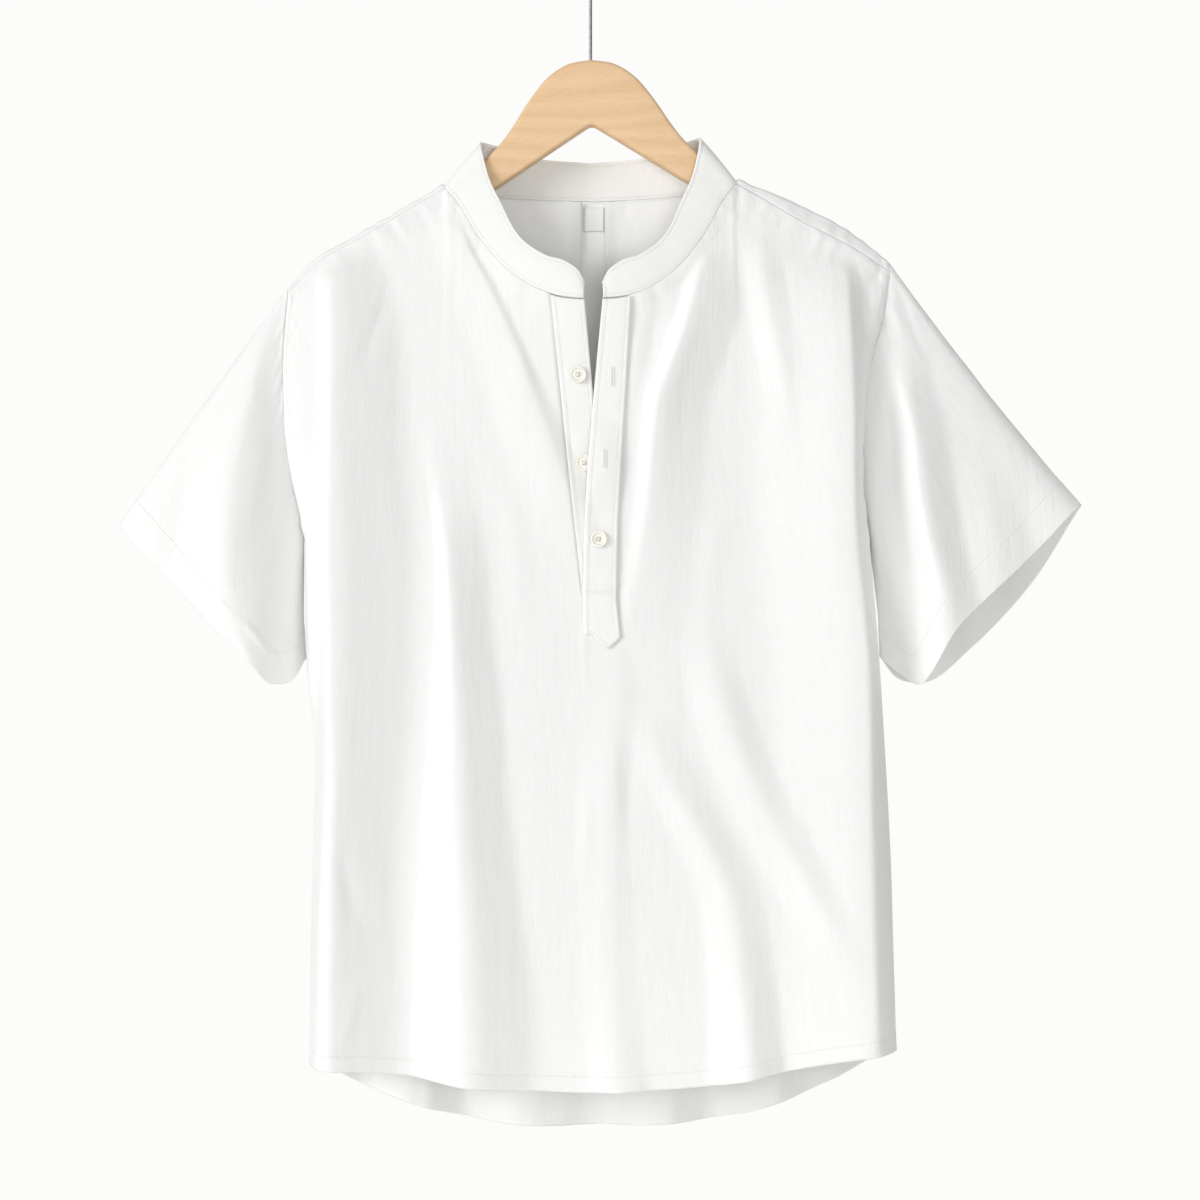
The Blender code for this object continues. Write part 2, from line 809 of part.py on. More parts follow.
def pleat_folds(z):
    """Offsets of the box pleat's four fold lines from its centre, and their layers, at z."""
    shut = ease((z - PLEAT_OPEN_Z) / (PLEAT_SHUT_Z - PLEAT_OPEN_Z))
    folds = []
    for shut_x, open_x, layer in PLEAT_FOLDS:
        spacing = PLEAT_LAYER * (0.3 + 0.7 * ease(shut / 0.45))
        folds.append((shut_x * shut + open_x * (1 - shut), layer * spacing))
    return folds


def back_panel():
    """Grid of the back: forward over the shoulders, with a centre-back box pleat."""
    u = np.array(SIDE_COLUMNS + SHOULDER_COLUMNS)
    shoulders = len(u)
    tops = [SHOULDER[name][-1][2] + SHOULDER[name][-1][3] - WRAP_DROP for name, _ in SIDES]
    halves = []
    for name, side in SIDES:
        line = shoulder_line(name, 1 - u / NECK_POINT)
        neck = collar_curves(side, neck_shares(side))[0]
        seam = np.vstack([line[:, :3], neck[:-2]])
        landing = seam.copy()
        landing[:shoulders, 2] = line[:, 2] + line[:, 3] - WRAP_DROP
        landing[shoulders, 2] -= WRAP_DROP
        landing[shoulders + 1 :, 2] -= NECK_FALL
        edge_line = PLEAT_CENTRE + side * PLEAT_EDGE
        x, z = spread(name, landing, tops, lambda at, line=edge_line: np.full(at.shape, line), back=True)
        y = panel_y(x, z, back=True)
        y[:, 0] = edge_depth(name, z[:, 0], back=True)
        y[0, : shoulders + 1] = WRAP_HALF
        grid = np.stack([x, y, z], axis=-1)
        grid = np.concatenate([over_shoulder(seam, line, grid[0]), grid], axis=0)
        tucked = np.linspace(seam[-1, 2] - PLEAT_TUCK, z[0, -1], WRAP_ROWS, endpoint=False)
        level = np.concatenate([tucked, z[:, -1]])
        base = panel_y(np.full(level.shape, edge_line), level, back=True)
        pleat = []
        for offset, layer in pleat_folds(level):
            fold_x = PLEAT_CENTRE + side * offset
            flat = ease((level - PLEAT_FLAT_Z) / (PLEAT_SHUT_Z - PLEAT_FLAT_Z))
            fold_y = base * flat + panel_y(fold_x, level, back=True) * (1 - flat) + layer
            pleat.append(np.stack([fold_x, fold_y, level], axis=-1))
        halves.append(np.concatenate([grid, np.stack(pleat, axis=1)], axis=1))
    points = np.concatenate([halves[0], halves[1][:, ::-1]], axis=1)
    return points, np.ones((points.shape[0] - 1, points.shape[1] - 1), bool)


def over_shoulder(seam, line, landing):
    """Rows of the back from its upper edge over the hanger to its first hanging row."""
    lap = np.clip((line[:, 3] - LAP_FROM) / LAP_REACH, 0.0, 1.0)
    turns = [(-7.6 - 0.9 * lap, 2.6 + 2.8 * lap)] + list(WRAP_TURN)
    rows = [seam]
    crest = len(line)
    for k, (turn_y, turn_drop) in enumerate(turns):
        part = (k + 1) / (len(turns) + 1)
        row = seam + (landing - seam) * part
        row[:crest, 0] = line[:, 0]
        row[:crest, 1] = turn_y
        row[:crest, 2] = line[:, 2] + line[:, 3] - turn_drop
        row[crest - 1, 0] += np.sign(line[-1, 0]) * NECK_STAND * sin(pi * part)
        row[crest, 1] = seam[crest, 1] + (WRAP_HALF - seam[crest, 1]) * part
        row[crest, 2] = seam[crest, 2] - WRAP_DROP * part**2.2
        rows.append(row)
    return np.array(rows)


# ---- sleeves ----


def sleeve(name, side, front, back):
    """Grid of a sleeve: rings from the armhole seam to the open hem."""
    column = 0 if side < 0 else -1
    last = ARMHOLE_ROWS
    front_edge = front[: last + 1, column]
    back_edge = back[: WRAP_ROWS + last, column]
    hole = np.vstack([front_edge, back_edge[1:][::-1]])
    hole[last, 0] += side * UNDERARM_GAP
    down = np.linspace(0, 1, last + 1) ** 0.95
    front_a = CREST_SHARE + (1 - CREST_SHARE) * down
    wrap_a = np.linspace(CREST_SHARE, -CREST_SHARE, WRAP_ROWS + 1)[1:]
    back_a = -(CREST_SHARE + (1 - CREST_SHARE) * down[1:last])
    a = np.concatenate([front_a, np.concatenate([wrap_a, back_a])[::-1]])
    hems = SLEEVE_HEM[name]
    hem = np.where((a > 0)[:, None], along(hems["front"], np.abs(a)), along(hems["back"], np.abs(a)))
    rings = []
    for s in np.linspace(0, 1, SLEEVE_ROWS + 1):
        ring = hole + (hem - hole) * s
        arch = 4 * s * (1 - s)
        ring[:, 2] += SLEEVE_TOP_SAG[name] * arch * (1 - np.abs(a)) ** 3
        ring[:, 0] += side * UNDERARM_STAND * arch**0.35 * np.abs(a) ** 6
        swell = SLEEVE_SWELL * arch * np.sin(pi * np.clip(np.abs(a), 0, 1))
        folds = fold_rise(SLEEVE_FOLDS[name], ring[:, 0], ring[:, 2])
        folds *= ease(s * 4) * np.sin(pi * np.abs(a)) ** 0.5
        keep = 1.0 if s < 1 else 0.85
        ring[:, 1] += np.sign(-a) * (swell + folds * keep * 0.8)
        rings.append(ring)
    points = np.array(rings)
    points = np.concatenate([points, points[:, :1]], axis=1)
    return points, np.ones((points.shape[0] - 1, points.shape[1] - 1), bool)


# ---- collar ----


def collar():
    """Grid of the band collar, its lower edge on the necklines of front and back."""
    shares = {}
    for name, side in SIDES:
        edge = neckline_share(side)
        falls = (np.array(NECK_COLUMNS[::-1]) - NECK_POINT) / (1 - NECK_POINT)
        shoulder = collar_share("shoulder")
        front_part = shoulder + (edge - shoulder) * falls
        ends = np.linspace(0, edge, 4)[:-1]
        shares[name] = np.concatenate([ends, front_part, [shoulder], neck_shares(side)])
    left = collar_curves(-1.0, shares["left"])
    right = collar_curves(1.0, shares["right"])
    centre = collar_curves(1.0, np.array([1.0]))
    seam, top = (np.vstack([left[k], centre[k], right[k][::-1]]) for k in range(2))
    rows = []
    for t in np.linspace(0, 1, COLLAR_ROWS + 1):
        row = seam + (top - seam) * t
        middle = np.array([COLLAR_FRONT_SHIFT, 0.0, 0.0])
        out = (row - middle) * np.array([1.0, 1.0, 0.0])
        out /= np.linalg.norm(out, axis=1)[:, None]
        rows.append(row + out * COLLAR_BULGE * 4 * t * (1 - t))
    points = np.array(rows)[::-1]
    return points, np.ones((points.shape[0] - 1, points.shape[1] - 1), bool)


# ---- what lies on the front ----


def over_lift(x, z):
    """How far the over strip's mid-surface stands off the front's, humped over a button."""
    lift = (CLOTH + PLACKET_CLOTH) / 2 + LAY_GAP + (PLACKET_CLOTH - CLOTH) / 2
    _, button_x, button_z, _ = BUTTONS[1]
    off = np.hypot(x - button_x, z - button_z) / BUTTON_HUMP_REACH
    return lift + BUTTON_HUMP * (1 - ease((off - BUTTON_HUMP_FLAT) / (1 - BUTTON_HUMP_FLAT)))


def strip(left, right, foot, lift, tip=None):
    """A placket strip between two edges, made from the front's points, moved out."""
    table = np.array(PLACKET)[::-1]
    edges = [np.interp(PLACKET[0][0], table[:, 0], table[:, k]) for k in (left, right)]
    share = np.linspace(0, 1, PLACKET_COLUMNS + 1)
    neck_x = edges[0] + (edges[1] - edges[0]) * share
    neck_z = np.interp(neck_x, FRONT_EDGE[:, 0], FRONT_EDGE[:, 2]) - NECK_CLEAR
    rows = []
    for t in np.linspace(0, 1, PLACKET_ROWS):
        z = neck_z + (foot - neck_z) * t
        start, end = (np.interp(z, table[:, 0], table[:, k]) for k in (left, right))
        rows.append(np.stack([start + (end - start) * share, np.zeros_like(z), z], axis=-1))
    if tip:
        point = rows[-1].copy()
        point[:, 2] = np.minimum(tip[1] + np.abs(point[:, 0] - tip[0]) * TAB_SLOPE, foot - 1.0)
        rows.append(point)
    points = np.array(rows)
    points[..., 1] = panel_y(points[..., 0], points[..., 2]) - lift(points[..., 0], points[..., 2])
    return points, np.ones((points.shape[0] - 1, points.shape[1] - 1), bool)


def outward(x, z):
    """Unit vector out of the front at x, z."""
    step = 1.0
    slope_x = (panel_y(x + step, z) - panel_y(x - step, z)) / (2 * step)
    slope_z = (panel_y(x, z + step) - panel_y(x, z - step)) / (2 * step)
    return Vector((float(slope_x), -1.0, float(slope_z))).normalized()


# ---- from grids to walls ----


def grid_normals(points, faces):
    """The sum of the unit normals of the faces about each of the grid's points."""
    across = points[:-1, 1:] - points[1:, :-1]
    along_ = points[1:, 1:] - points[:-1, :-1]
    normal = np.cross(along_, across)
    normal /= np.maximum(np.linalg.norm(normal, axis=-1, keepdims=True), 1e-9)
    normal = normal * faces[..., None]
    total = np.zeros(points.shape)
    total[:-1, :-1] += normal
    total[1:, :-1] += normal
    total[:-1, 1:] += normal
    total[1:, 1:] += normal
    return total


def key(point):
    return tuple(np.round(point, 2))


def share_normals(panels):
    """Seam points of neighbouring panels get one normal, so that their rims are parallel."""
    totals = {}
    for panel in panels.values():
        normals = panel["normals"]
        unit = normals / np.maximum(np.linalg.norm(normals, axis=-1, keepdims=True), 1e-9)
        for point, normal in zip(panel["points"].reshape(-1, 3), unit.reshape(-1, 3)):
            totals[key(point)] = totals.get(key(point), 0) + normal
    for panel in panels.values():
        points, normals = panel["points"], panel["normals"]
        for index in np.ndindex(points.shape[:2]):
            normals[index] = totals[key(points[index])]
        normals /= np.maximum(np.linalg.norm(normals, axis=-1, keepdims=True), 1e-9)


def pull_in(panel, edges, gap):
    """Moves seam edges into their own panel by half the gap."""
    points = panel["points"]
    moved = points.copy()
    for edge in edges:
        here, inner = {
            "top": (np.s_[0, :], np.s_[1, :]),
            "foot": (np.s_[-1, :], np.s_[-2, :]),
            "left": (np.s_[:, 0], np.s_[:, 1]),
            "right": (np.s_[:, -1], np.s_[:, -2]),
        }[edge]
        inward = points[inner] - points[here]
        inward /= np.maximum(np.linalg.norm(inward, axis=-1, keepdims=True), 1e-9)
        moved[here] += inward * gap / 2
    panel["points"] = moved


def halved(corners):
    """The two triangles of a quad, cut on its shorter diagonal, for both of a wall's faces."""
    if np.linalg.norm(corners[0] - corners[2]) <= np.linalg.norm(corners[1] - corners[3]):
        return (0, 1, 2), (0, 2, 3)
    return (1, 2, 3), (1, 3, 0)


def wall(name, panel, thickness, closed=False):
    """A wall of even thickness about a grid of mid-surface points, as one closed mesh."""
    points, faces, normals = panel["points"], panel["faces"], panel["normals"]
    columns = points.shape[1] - 1 if closed else points.shape[1]
    mesh = bmesh.new()
    layers = []
    used = np.zeros(points.shape[:2], bool)
    for r, c in zip(*np.nonzero(faces)):
        used[r : r + 2, c : c + 2] = True
    for half in (thickness / 2, -thickness / 2):
        layer = {}
        for r, c in np.ndindex(points.shape[0], columns):
            if used[r, c]:
                layer[r, c] = mesh.verts.new((points[r, c] + normals[r, c] * half) * MM)
        layers.append(layer)
    outer, inner = layers
    edges = {}
    for r, c in zip(*np.nonzero(faces)):
        after = (c + 1) % columns
        corners = [(r, c), (r + 1, c), (r + 1, after), (r, after)]
        for three in halved([points[k] for k in corners]):
            mesh.faces.new([outer[corners[k]] for k in three])
            mesh.faces.new([inner[corners[k]] for k in reversed(three)])
        for a, b in zip(corners, corners[1:] + corners[:1]):
            edges[a, b] = edges.get((a, b), 0) + 1
    for a, b in edges:
        if (b, a) not in edges:
            mesh.faces.new([outer[b], outer[a], inner[a], inner[b]])
    data = bpy.data.meshes.new(name)
    bmesh.ops.recalc_face_normals(mesh, faces=mesh.faces)
    mesh.to_mesh(data)
    mesh.free()
    return place(name, data)


def place(name, data):
    item = bpy.data.objects.new(name, data)
    bpy.context.scene.collection.objects.link(item)
    return item


def finish(item, colour):
    tone, roughness = COLOURS[colour]
    material = bpy.data.materials.new(item.name)
    material.use_nodes = True
    shader = material.node_tree.nodes["Principled BSDF"]
    shader.inputs["Base Color"].default_value = (*tone, 1.0)
    shader.inputs["Roughness"].default_value = roughness
    shader.inputs["Metallic"].default_value = 1.0 if colour == "wire" else 0.0
    item.data.materials.append(material)
    return item


def panel_of(grid):
    points, faces = grid
    return {"points": points, "faces": faces, "normals": grid_normals(points, faces)}


def make_cloth():
    front, back = panel_of(front_panel()), panel_of(back_panel())
    panels = {"front": front, "back": back}
    for name, side in SIDES:
        panels["sleeve_" + name] = panel_of(sleeve(name, side, front["points"], back["points"]))
    panels["collar_band"] = panel_of(collar())
    for name, panel in panels.items():
        if name.startswith("sleeve"):
            panel["normals"][:, 0] += panel["normals"][:, -1]
            panel["normals"][:, -1] = panel["normals"][:, 0]
    orient(panels)
    share_normals(panels)
    seams = {
        "front": ("top", "left", "right"),
        "back": ("top", "left", "right"),
        "sleeve_left": ("top",),
        "sleeve_right": ("top",),
        "collar_band": ("foot",),
    }
    for name, panel in panels.items():
        pull_in(panel, seams[name], SEAM_GAP)
        thickness = COLLAR_CLOTH if name == "collar_band" else CLOTH
        finish(wall(name, panel, thickness, closed=name.startswith("sleeve")), "cloth")


def orient(panels):
    """Turns each panel's normals away from the body's or the sleeve's middle."""
    for name, panel in panels.items():
        middle = panel["points"].reshape(-1, 3).mean(axis=0)
        if name in ("front", "back"):
            middle = np.array([0.0, 0.0, -550.0])
        out = ((panel["points"] - middle) * panel["normals"]).sum()
        if out < 0:
            panel["normals"] *= -1


def make_placket():
    under = panel_of(strip(1, 2, foot_z() + 2.5, lambda x, z: np.zeros_like(x)))
    over = panel_of(strip(3, 4, TAB_FOOT_Z, over_lift, TAB_POINT))
    for name, panel in (("under_placket", under), ("over_placket", over)):
        if panel["normals"][..., 1].sum() > 0:
            panel["normals"] *= -1
        panel["normals"] /= np.linalg.norm(panel["normals"], axis=-1, keepdims=True)
        if name == "under_placket":
            pull_in(panel, ("left",), UNDER_SIDE_GAP)
        finish(wall(name, panel, PLACKET_CLOTH), "cloth")


def make_label():
    rows = np.linspace(LABEL_TOP_Z, LABEL_TOP_Z - LABEL_HEIGHT, 3)
    x = PLEAT_CENTRE + np.linspace(-LABEL_WIDTH / 2, LABEL_WIDTH / 2, 3)
    clear = CLOTH / 2 + LABEL_GAP + LABEL_CLOTH / 2 - 2 * PLEAT_LAYER
    edges = PLEAT_CENTRE + np.array([-PLEAT_EDGE, PLEAT_EDGE])
    points = np.array([[(a, panel_y(edges, z, back=True).mean() - clear, z) for a in x] for z in rows])
    panel = panel_of((points, np.ones((2, 2), bool)))
    panel["normals"] /= np.linalg.norm(panel["normals"], axis=-1, keepdims=True)
    finish(wall("neck_label", panel, LABEL_CLOTH), "label")


def make_button(name, x, z, lies_on):
    """A dished button with a raised rim and four thread holes."""
    profile = (
        (0.0, -BUTTON_THICK / 2),
        (BUTTON_RADIUS - 0.7, -BUTTON_THICK / 2),
        (BUTTON_RADIUS, -BUTTON_THICK / 2 + 0.7),
        (BUTTON_RADIUS, BUTTON_THICK / 2 - 0.5),
        (BUTTON_RADIUS - 0.5, BUTTON_THICK / 2),
        (BUTTON_RADIUS - BUTTON_RIM, BUTTON_THICK / 2),
        (BUTTON_RADIUS - BUTTON_RIM - 0.9, BUTTON_THICK / 2 - BUTTON_DISH),
        (0.0, BUTTON_THICK / 2 - BUTTON_DISH),
    )
    mesh = bmesh.new()
    verts = [mesh.verts.new((r * MM, 0, h * MM)) for r, h in profile]
    edges = [mesh.edges.new(pair) for pair in zip(verts, verts[1:])]
    bmesh.ops.spin(
        mesh,
        geom=verts + edges,
        cent=(0, 0, 0),
        axis=(0, 0, 1),
        angle=2 * pi,
        steps=BUTTON_SEGMENTS,
        use_merge=True,
    )
    bmesh.ops.remove_doubles(mesh, verts=mesh.verts, dist=1e-6)
    bmesh.ops.recalc_face_normals(mesh, faces=mesh.faces)
    data = bpy.data.meshes.new(name)
    mesh.to_mesh(data)
    mesh.free()
    button = place(name, data)

    holes = bmesh.new()
    for k in range(4):
        turn = pi / 4 + k * pi / 2
        spot = Matrix.Translation((cos(turn) * HOLE_SPACING * MM, sin(turn) * HOLE_SPACING * MM, 0))
        bmesh.ops.create_cone(
            holes,
            cap_ends=True,
            segments=HOLE_SEGMENTS,
            radius1=HOLE_RADIUS * MM,
            radius2=HOLE_RADIUS * MM,
            depth=BUTTON_THICK * 3 * MM,
            matrix=spot,
        )
    cutter_data = bpy.data.meshes.new(name + "_holes")
    holes.to_mesh(cutter_data)
    holes.free()
    cutter = place(name + "_holes", cutter_data)
    cutter.hide_render = True
    cutter.display_type = "WIRE"
    cut = button.modifiers.new("thread holes", "BOOLEAN")
    cut.operation = "DIFFERENCE"
    cut.object = cutter

    normal = outward(x, z)
    base = PLACKET_CLOTH / 2 + LAY_GAP + BUTTON_THICK / 2
    lift = base + (float(over_lift(x, z)) if lies_on == "over" else 0.0)
    spot = Vector((x, float(panel_y(x, z)), z)) + normal * lift
    turn = Vector((0, 0, 1)).rotation_difference(normal)
    for item in (button, cutter):
        item.rotation_mode = "QUATERNION"
        item.rotation_quaternion = turn
        item.location = spot * MM
    finish(button, "button")


def make_hanger():
    """A flat board: domed top, sloped arms, V-shaped underside, and a hole for the stem."""
    top = along(BOARD_TOP, np.linspace(0, 1, BOARD_STEPS))
    half = [tuple(p) for p in top] + list(BOARD_FOOT)
    ring = half + [(0.0, BOARD_APEX_Z)] + [(-x, z) for x, z in reversed(half[1:])]
    mesh = bmesh.new()
    verts = [mesh.verts.new((x * MM, -BOARD_THICK / 2 * MM, z * MM)) for x, z in ring]
    face = mesh.faces.new(verts)
    grown = bmesh.ops.extrude_face_region(mesh, geom=[face])
    moved = [v for v in grown["geom"] if isinstance(v, bmesh.types.BMVert)]
    bmesh.ops.translate(mesh, verts=moved, vec=(0, BOARD_THICK * MM, 0))
    bmesh.ops.recalc_face_normals(mesh, faces=mesh.faces)
    pivot = Vector((0, 0, BOARD_TOP[0][1] * MM))
    bmesh.ops.rotate(mesh, cent=pivot, matrix=Matrix.Rotation(-BOARD_TILT, 3, "Y"), verts=mesh.verts)
    data = bpy.data.meshes.new("hanger")
    mesh.to_mesh(data)
    mesh.free()
    hanger = place("hanger", data)
    soft = hanger.modifiers.new("rounded edges", "BEVEL")
    soft.width = BOARD_ROUND * MM
    soft.segments = 2
    soft.angle_limit = radians(60)

    hole = bmesh.new()
    bmesh.ops.create_cone(
        hole,
        cap_ends=True,
        segments=12,
        radius1=(WIRE_RADIUS + STEM_CLEAR) * MM,
        radius2=(WIRE_RADIUS + STEM_CLEAR) * MM,
        depth=2 * (STEM_DEPTH + 1.0) * MM,
        matrix=Matrix.Translation(pivot),
    )
    hole_data = bpy.data.meshes.new("stem_hole")
    hole.to_mesh(hole_data)
    hole.free()
    cutter = place("stem_hole", hole_data)
    cutter.hide_render = True
    cutter.display_type = "WIRE"
    cut = hanger.modifiers.new("stem hole", "BOOLEAN")
    cut.operation = "DIFFERENCE"
    cut.object = cutter
    finish(hanger, "wood")


def make_hook():
    """Round wire: an open loop over the rail and a straight stem into the board."""
    middle = HOOK_RADIUS + WIRE_RADIUS
    route = []
    for k in range(HOOK_STEPS + 1):
        turn = HOOK_TIP + (HOOK_TURN - HOOK_TIP) * k / HOOK_STEPS
        route.append((middle * cos(turn), -HOOK_RADIUS + middle * sin(turn)))
    end = route[-1]
    for t in (0.3, 0.6, 0.85):
        swing = (1 - t) ** 2
        route.append((end[0] * swing, end[1] + (STEM_START_Z - end[1]) * t ** 1.3))
    stem_foot = BOARD_TOP[0][1] - STEM_DEPTH
    for z in np.linspace(STEM_START_Z, stem_foot, 4):
        route.append((0.0, z))
    curve = bpy.data.curves.new("hook", "CURVE")
    curve.dimensions = "3D"
    curve.bevel_depth = WIRE_RADIUS * MM
    curve.bevel_resolution = 2
    curve.use_fill_caps = True
    line = curve.splines.new("POLY")
    line.points.add(len(route) - 1)
    for point, (x, z) in zip(line.points, route):
        point.co = (x * MM, 0.0, z * MM, 1.0)
    finish(place("hook", curve), "wire")


def main():
    for item in list(bpy.data.objects):
        bpy.data.objects.remove(item)
    make_cloth()
    make_placket()
    make_label()
    for button in BUTTONS:
        make_button(*button)
    make_hanger()
    make_hook()


main()
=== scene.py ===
"""Looks of a short-sleeved band-collar shirt that hangs on a flat wooden hanger.

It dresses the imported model, which is its frame: +Z up, the front faces -Y, and the
origin is the inner top of the hook. Tables are in millimetres, and MM scales them as a
mesh is made. The cloth's tables are the ones that its solids were made from.
"""

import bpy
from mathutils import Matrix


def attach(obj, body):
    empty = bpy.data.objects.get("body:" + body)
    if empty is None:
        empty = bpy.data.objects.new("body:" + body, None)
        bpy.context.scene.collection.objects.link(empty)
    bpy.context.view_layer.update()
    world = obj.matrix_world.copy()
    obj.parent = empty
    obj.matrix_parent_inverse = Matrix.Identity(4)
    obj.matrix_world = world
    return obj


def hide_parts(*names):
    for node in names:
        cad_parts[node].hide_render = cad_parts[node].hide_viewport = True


bl_info = {
    "name": "Band-collar shirt on a hanger",
    "version": (1, 0, 0),
    "blender": (4, 5, 0),
    "location": "View3D > Sidebar > Shirt",
    "description": "Makes the linen, seams, buttons, hanger and studio of a hanging shirt",
    "category": "Object",
}

from functools import cache
from math import cos, pi, radians, sin, tau

import bpy
import numpy as np
from bpy.props import FloatProperty, FloatVectorProperty, PointerProperty
from mathutils import Vector, kdtree

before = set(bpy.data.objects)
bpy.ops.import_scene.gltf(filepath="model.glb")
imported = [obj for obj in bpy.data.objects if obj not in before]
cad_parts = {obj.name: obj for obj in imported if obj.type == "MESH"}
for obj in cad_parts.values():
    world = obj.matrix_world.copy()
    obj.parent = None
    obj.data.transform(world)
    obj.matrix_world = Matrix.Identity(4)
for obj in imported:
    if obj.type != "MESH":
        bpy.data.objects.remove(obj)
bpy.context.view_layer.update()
MM = 0.001

# ---- collar: half of it, front end to centre back, mirrored to both sides ----
# where, seam x, y, z, top x, y, z
COLLAR = (
    ("front end", 7.2, -36.5, -286, 7, -35.3, -275),
    ("curved corner", 14, -36.4, -285.8, 11.2, -35, -266),
    ("placket", 24, -35.8, -284.6, 20.5, -34, -258.6), ("front", 42, -33.6, -278.6, 35, -32.2, -253.8),
    ("front side", 64, -29, -264, 54, -27, -240), ("side front", 86, -21.5, -238, 69.5, -19, -211),
    ("neck side", 103, -13, -209.5, 80, -11.5, -185.5), ("shoulder", 111.5, -8.2, -198.8, 84, -6, -168),
    ("crest", 110, 0.5, -195.4, 84.5, 2, -162.6),
    ("behind crest", 107.5, 8.8, -197.5, 82.5, 8.5, -161.5),
    ("back side", 92, 16, -200.5, 75, 14, -162.5), ("back", 52, 24.5, -203, 46, 21, -171),
    ("centre back", 0, 28, -204.3, 0, 25, -174.8),
)
COLLAR_FRONT_SHIFT = 2.4
COLLAR_RIGHT_LIFT = 3.6
COLLAR_BULGE = 1.2
COLLAR_DEPTH = 36.0
NECK_WIDEST = 111.5

# ---- shoulder seams, neck to sleeve: x, y, z, height of the crest over the seam ----
SHOULDER = {
    "left": (
        (-111.5, -8.2, -198.8, 3.4), (-147.3, -8.3, -219.6, 3.7), (-178.2, -8.3, -237.4, 3.7),
        (-213, -8.3, -258.4, 3.8), (-233.1, -8.2, -279.5, 4),
    ),
    "right": (
        (111.5, -8.2, -195.2, 3.8), (131, -9.5, -206.4, 7.5), (161.9, -11.5, -224.5, 12.4),
        (200.6, -11.5, -244.5, 12.2), (230.7, -9, -263.5, 7),
    ),
}
# armholes, shoulder to underarm: x, z, depth of the seam in front and behind
ARMHOLE = {
    "left": (
        (-233.1, -279.5, 8.2, 8.4), (-236.2, -314.9, 12, 13), (-236.2, -361.3, 14, 16),
        (-232.3, -407.7, 12, 15), (-224.6, -446.3, 7, 9), (-219.9, -469.5, 0, 0),
    ),
    "right": (
        (230.7, -263.5, 9, 8.4), (226.1, -291.7, 11, 13), (214.5, -338.1, 12, 16),
        (209.9, -384.5, 11, 15), (209.9, -430.9, 7, 9), (214.5, -469.5, 0, 0),
    ),
}
# side seams, underarm to hem: x, z
SIDE = {
    "left": (
        (-219.9, -469.5), (-218.4, -562), (-212.2, -640), (-213.7, -709), (-215.3, -786), (-216, -873),
    ),
    "right": (
        (214.5, -469.5), (222.2, -560), (226.9, -640), (230.7, -709), (233.1, -786), (235.4, -862),
    ),
}
# hems across the body: x, front z, back z
HEM = (
    (-216, -873, -873), (-185, -874.5, -895), (-140, -879, -911), (-92, -886.5, -924),
    (-40, -890.5, -929), (0, -892, -929.6), (50, -890, -928), (94, -886.5, -924.5), (140, -878, -913),
    (187, -869, -895), (235.4, -862, -862),
)
# how far the body stands off its middle plane: z, front, back
DEPTH = (
    (-200.0, 22.0, 22.0), (-290.0, 27.0, 24.0), (-400.0, 25.0, 26.0), (-550.0, 22.0, 24.0),
    (-720.0, 21.0, 24.0), (-930.0, 24.0, 28.0),
)
HEM_FRONT, HEM_BACK = 1, 2
SIDE_ROUND = {"left": 20.0, "right": 9.0}
DEPTH_FALL = 75.0
CENTRE_SWELL = 5.0
HALF_WIDTH = 220.0
# how far below the upper edge the folds reach their full rise
FOLD_START = 26.0

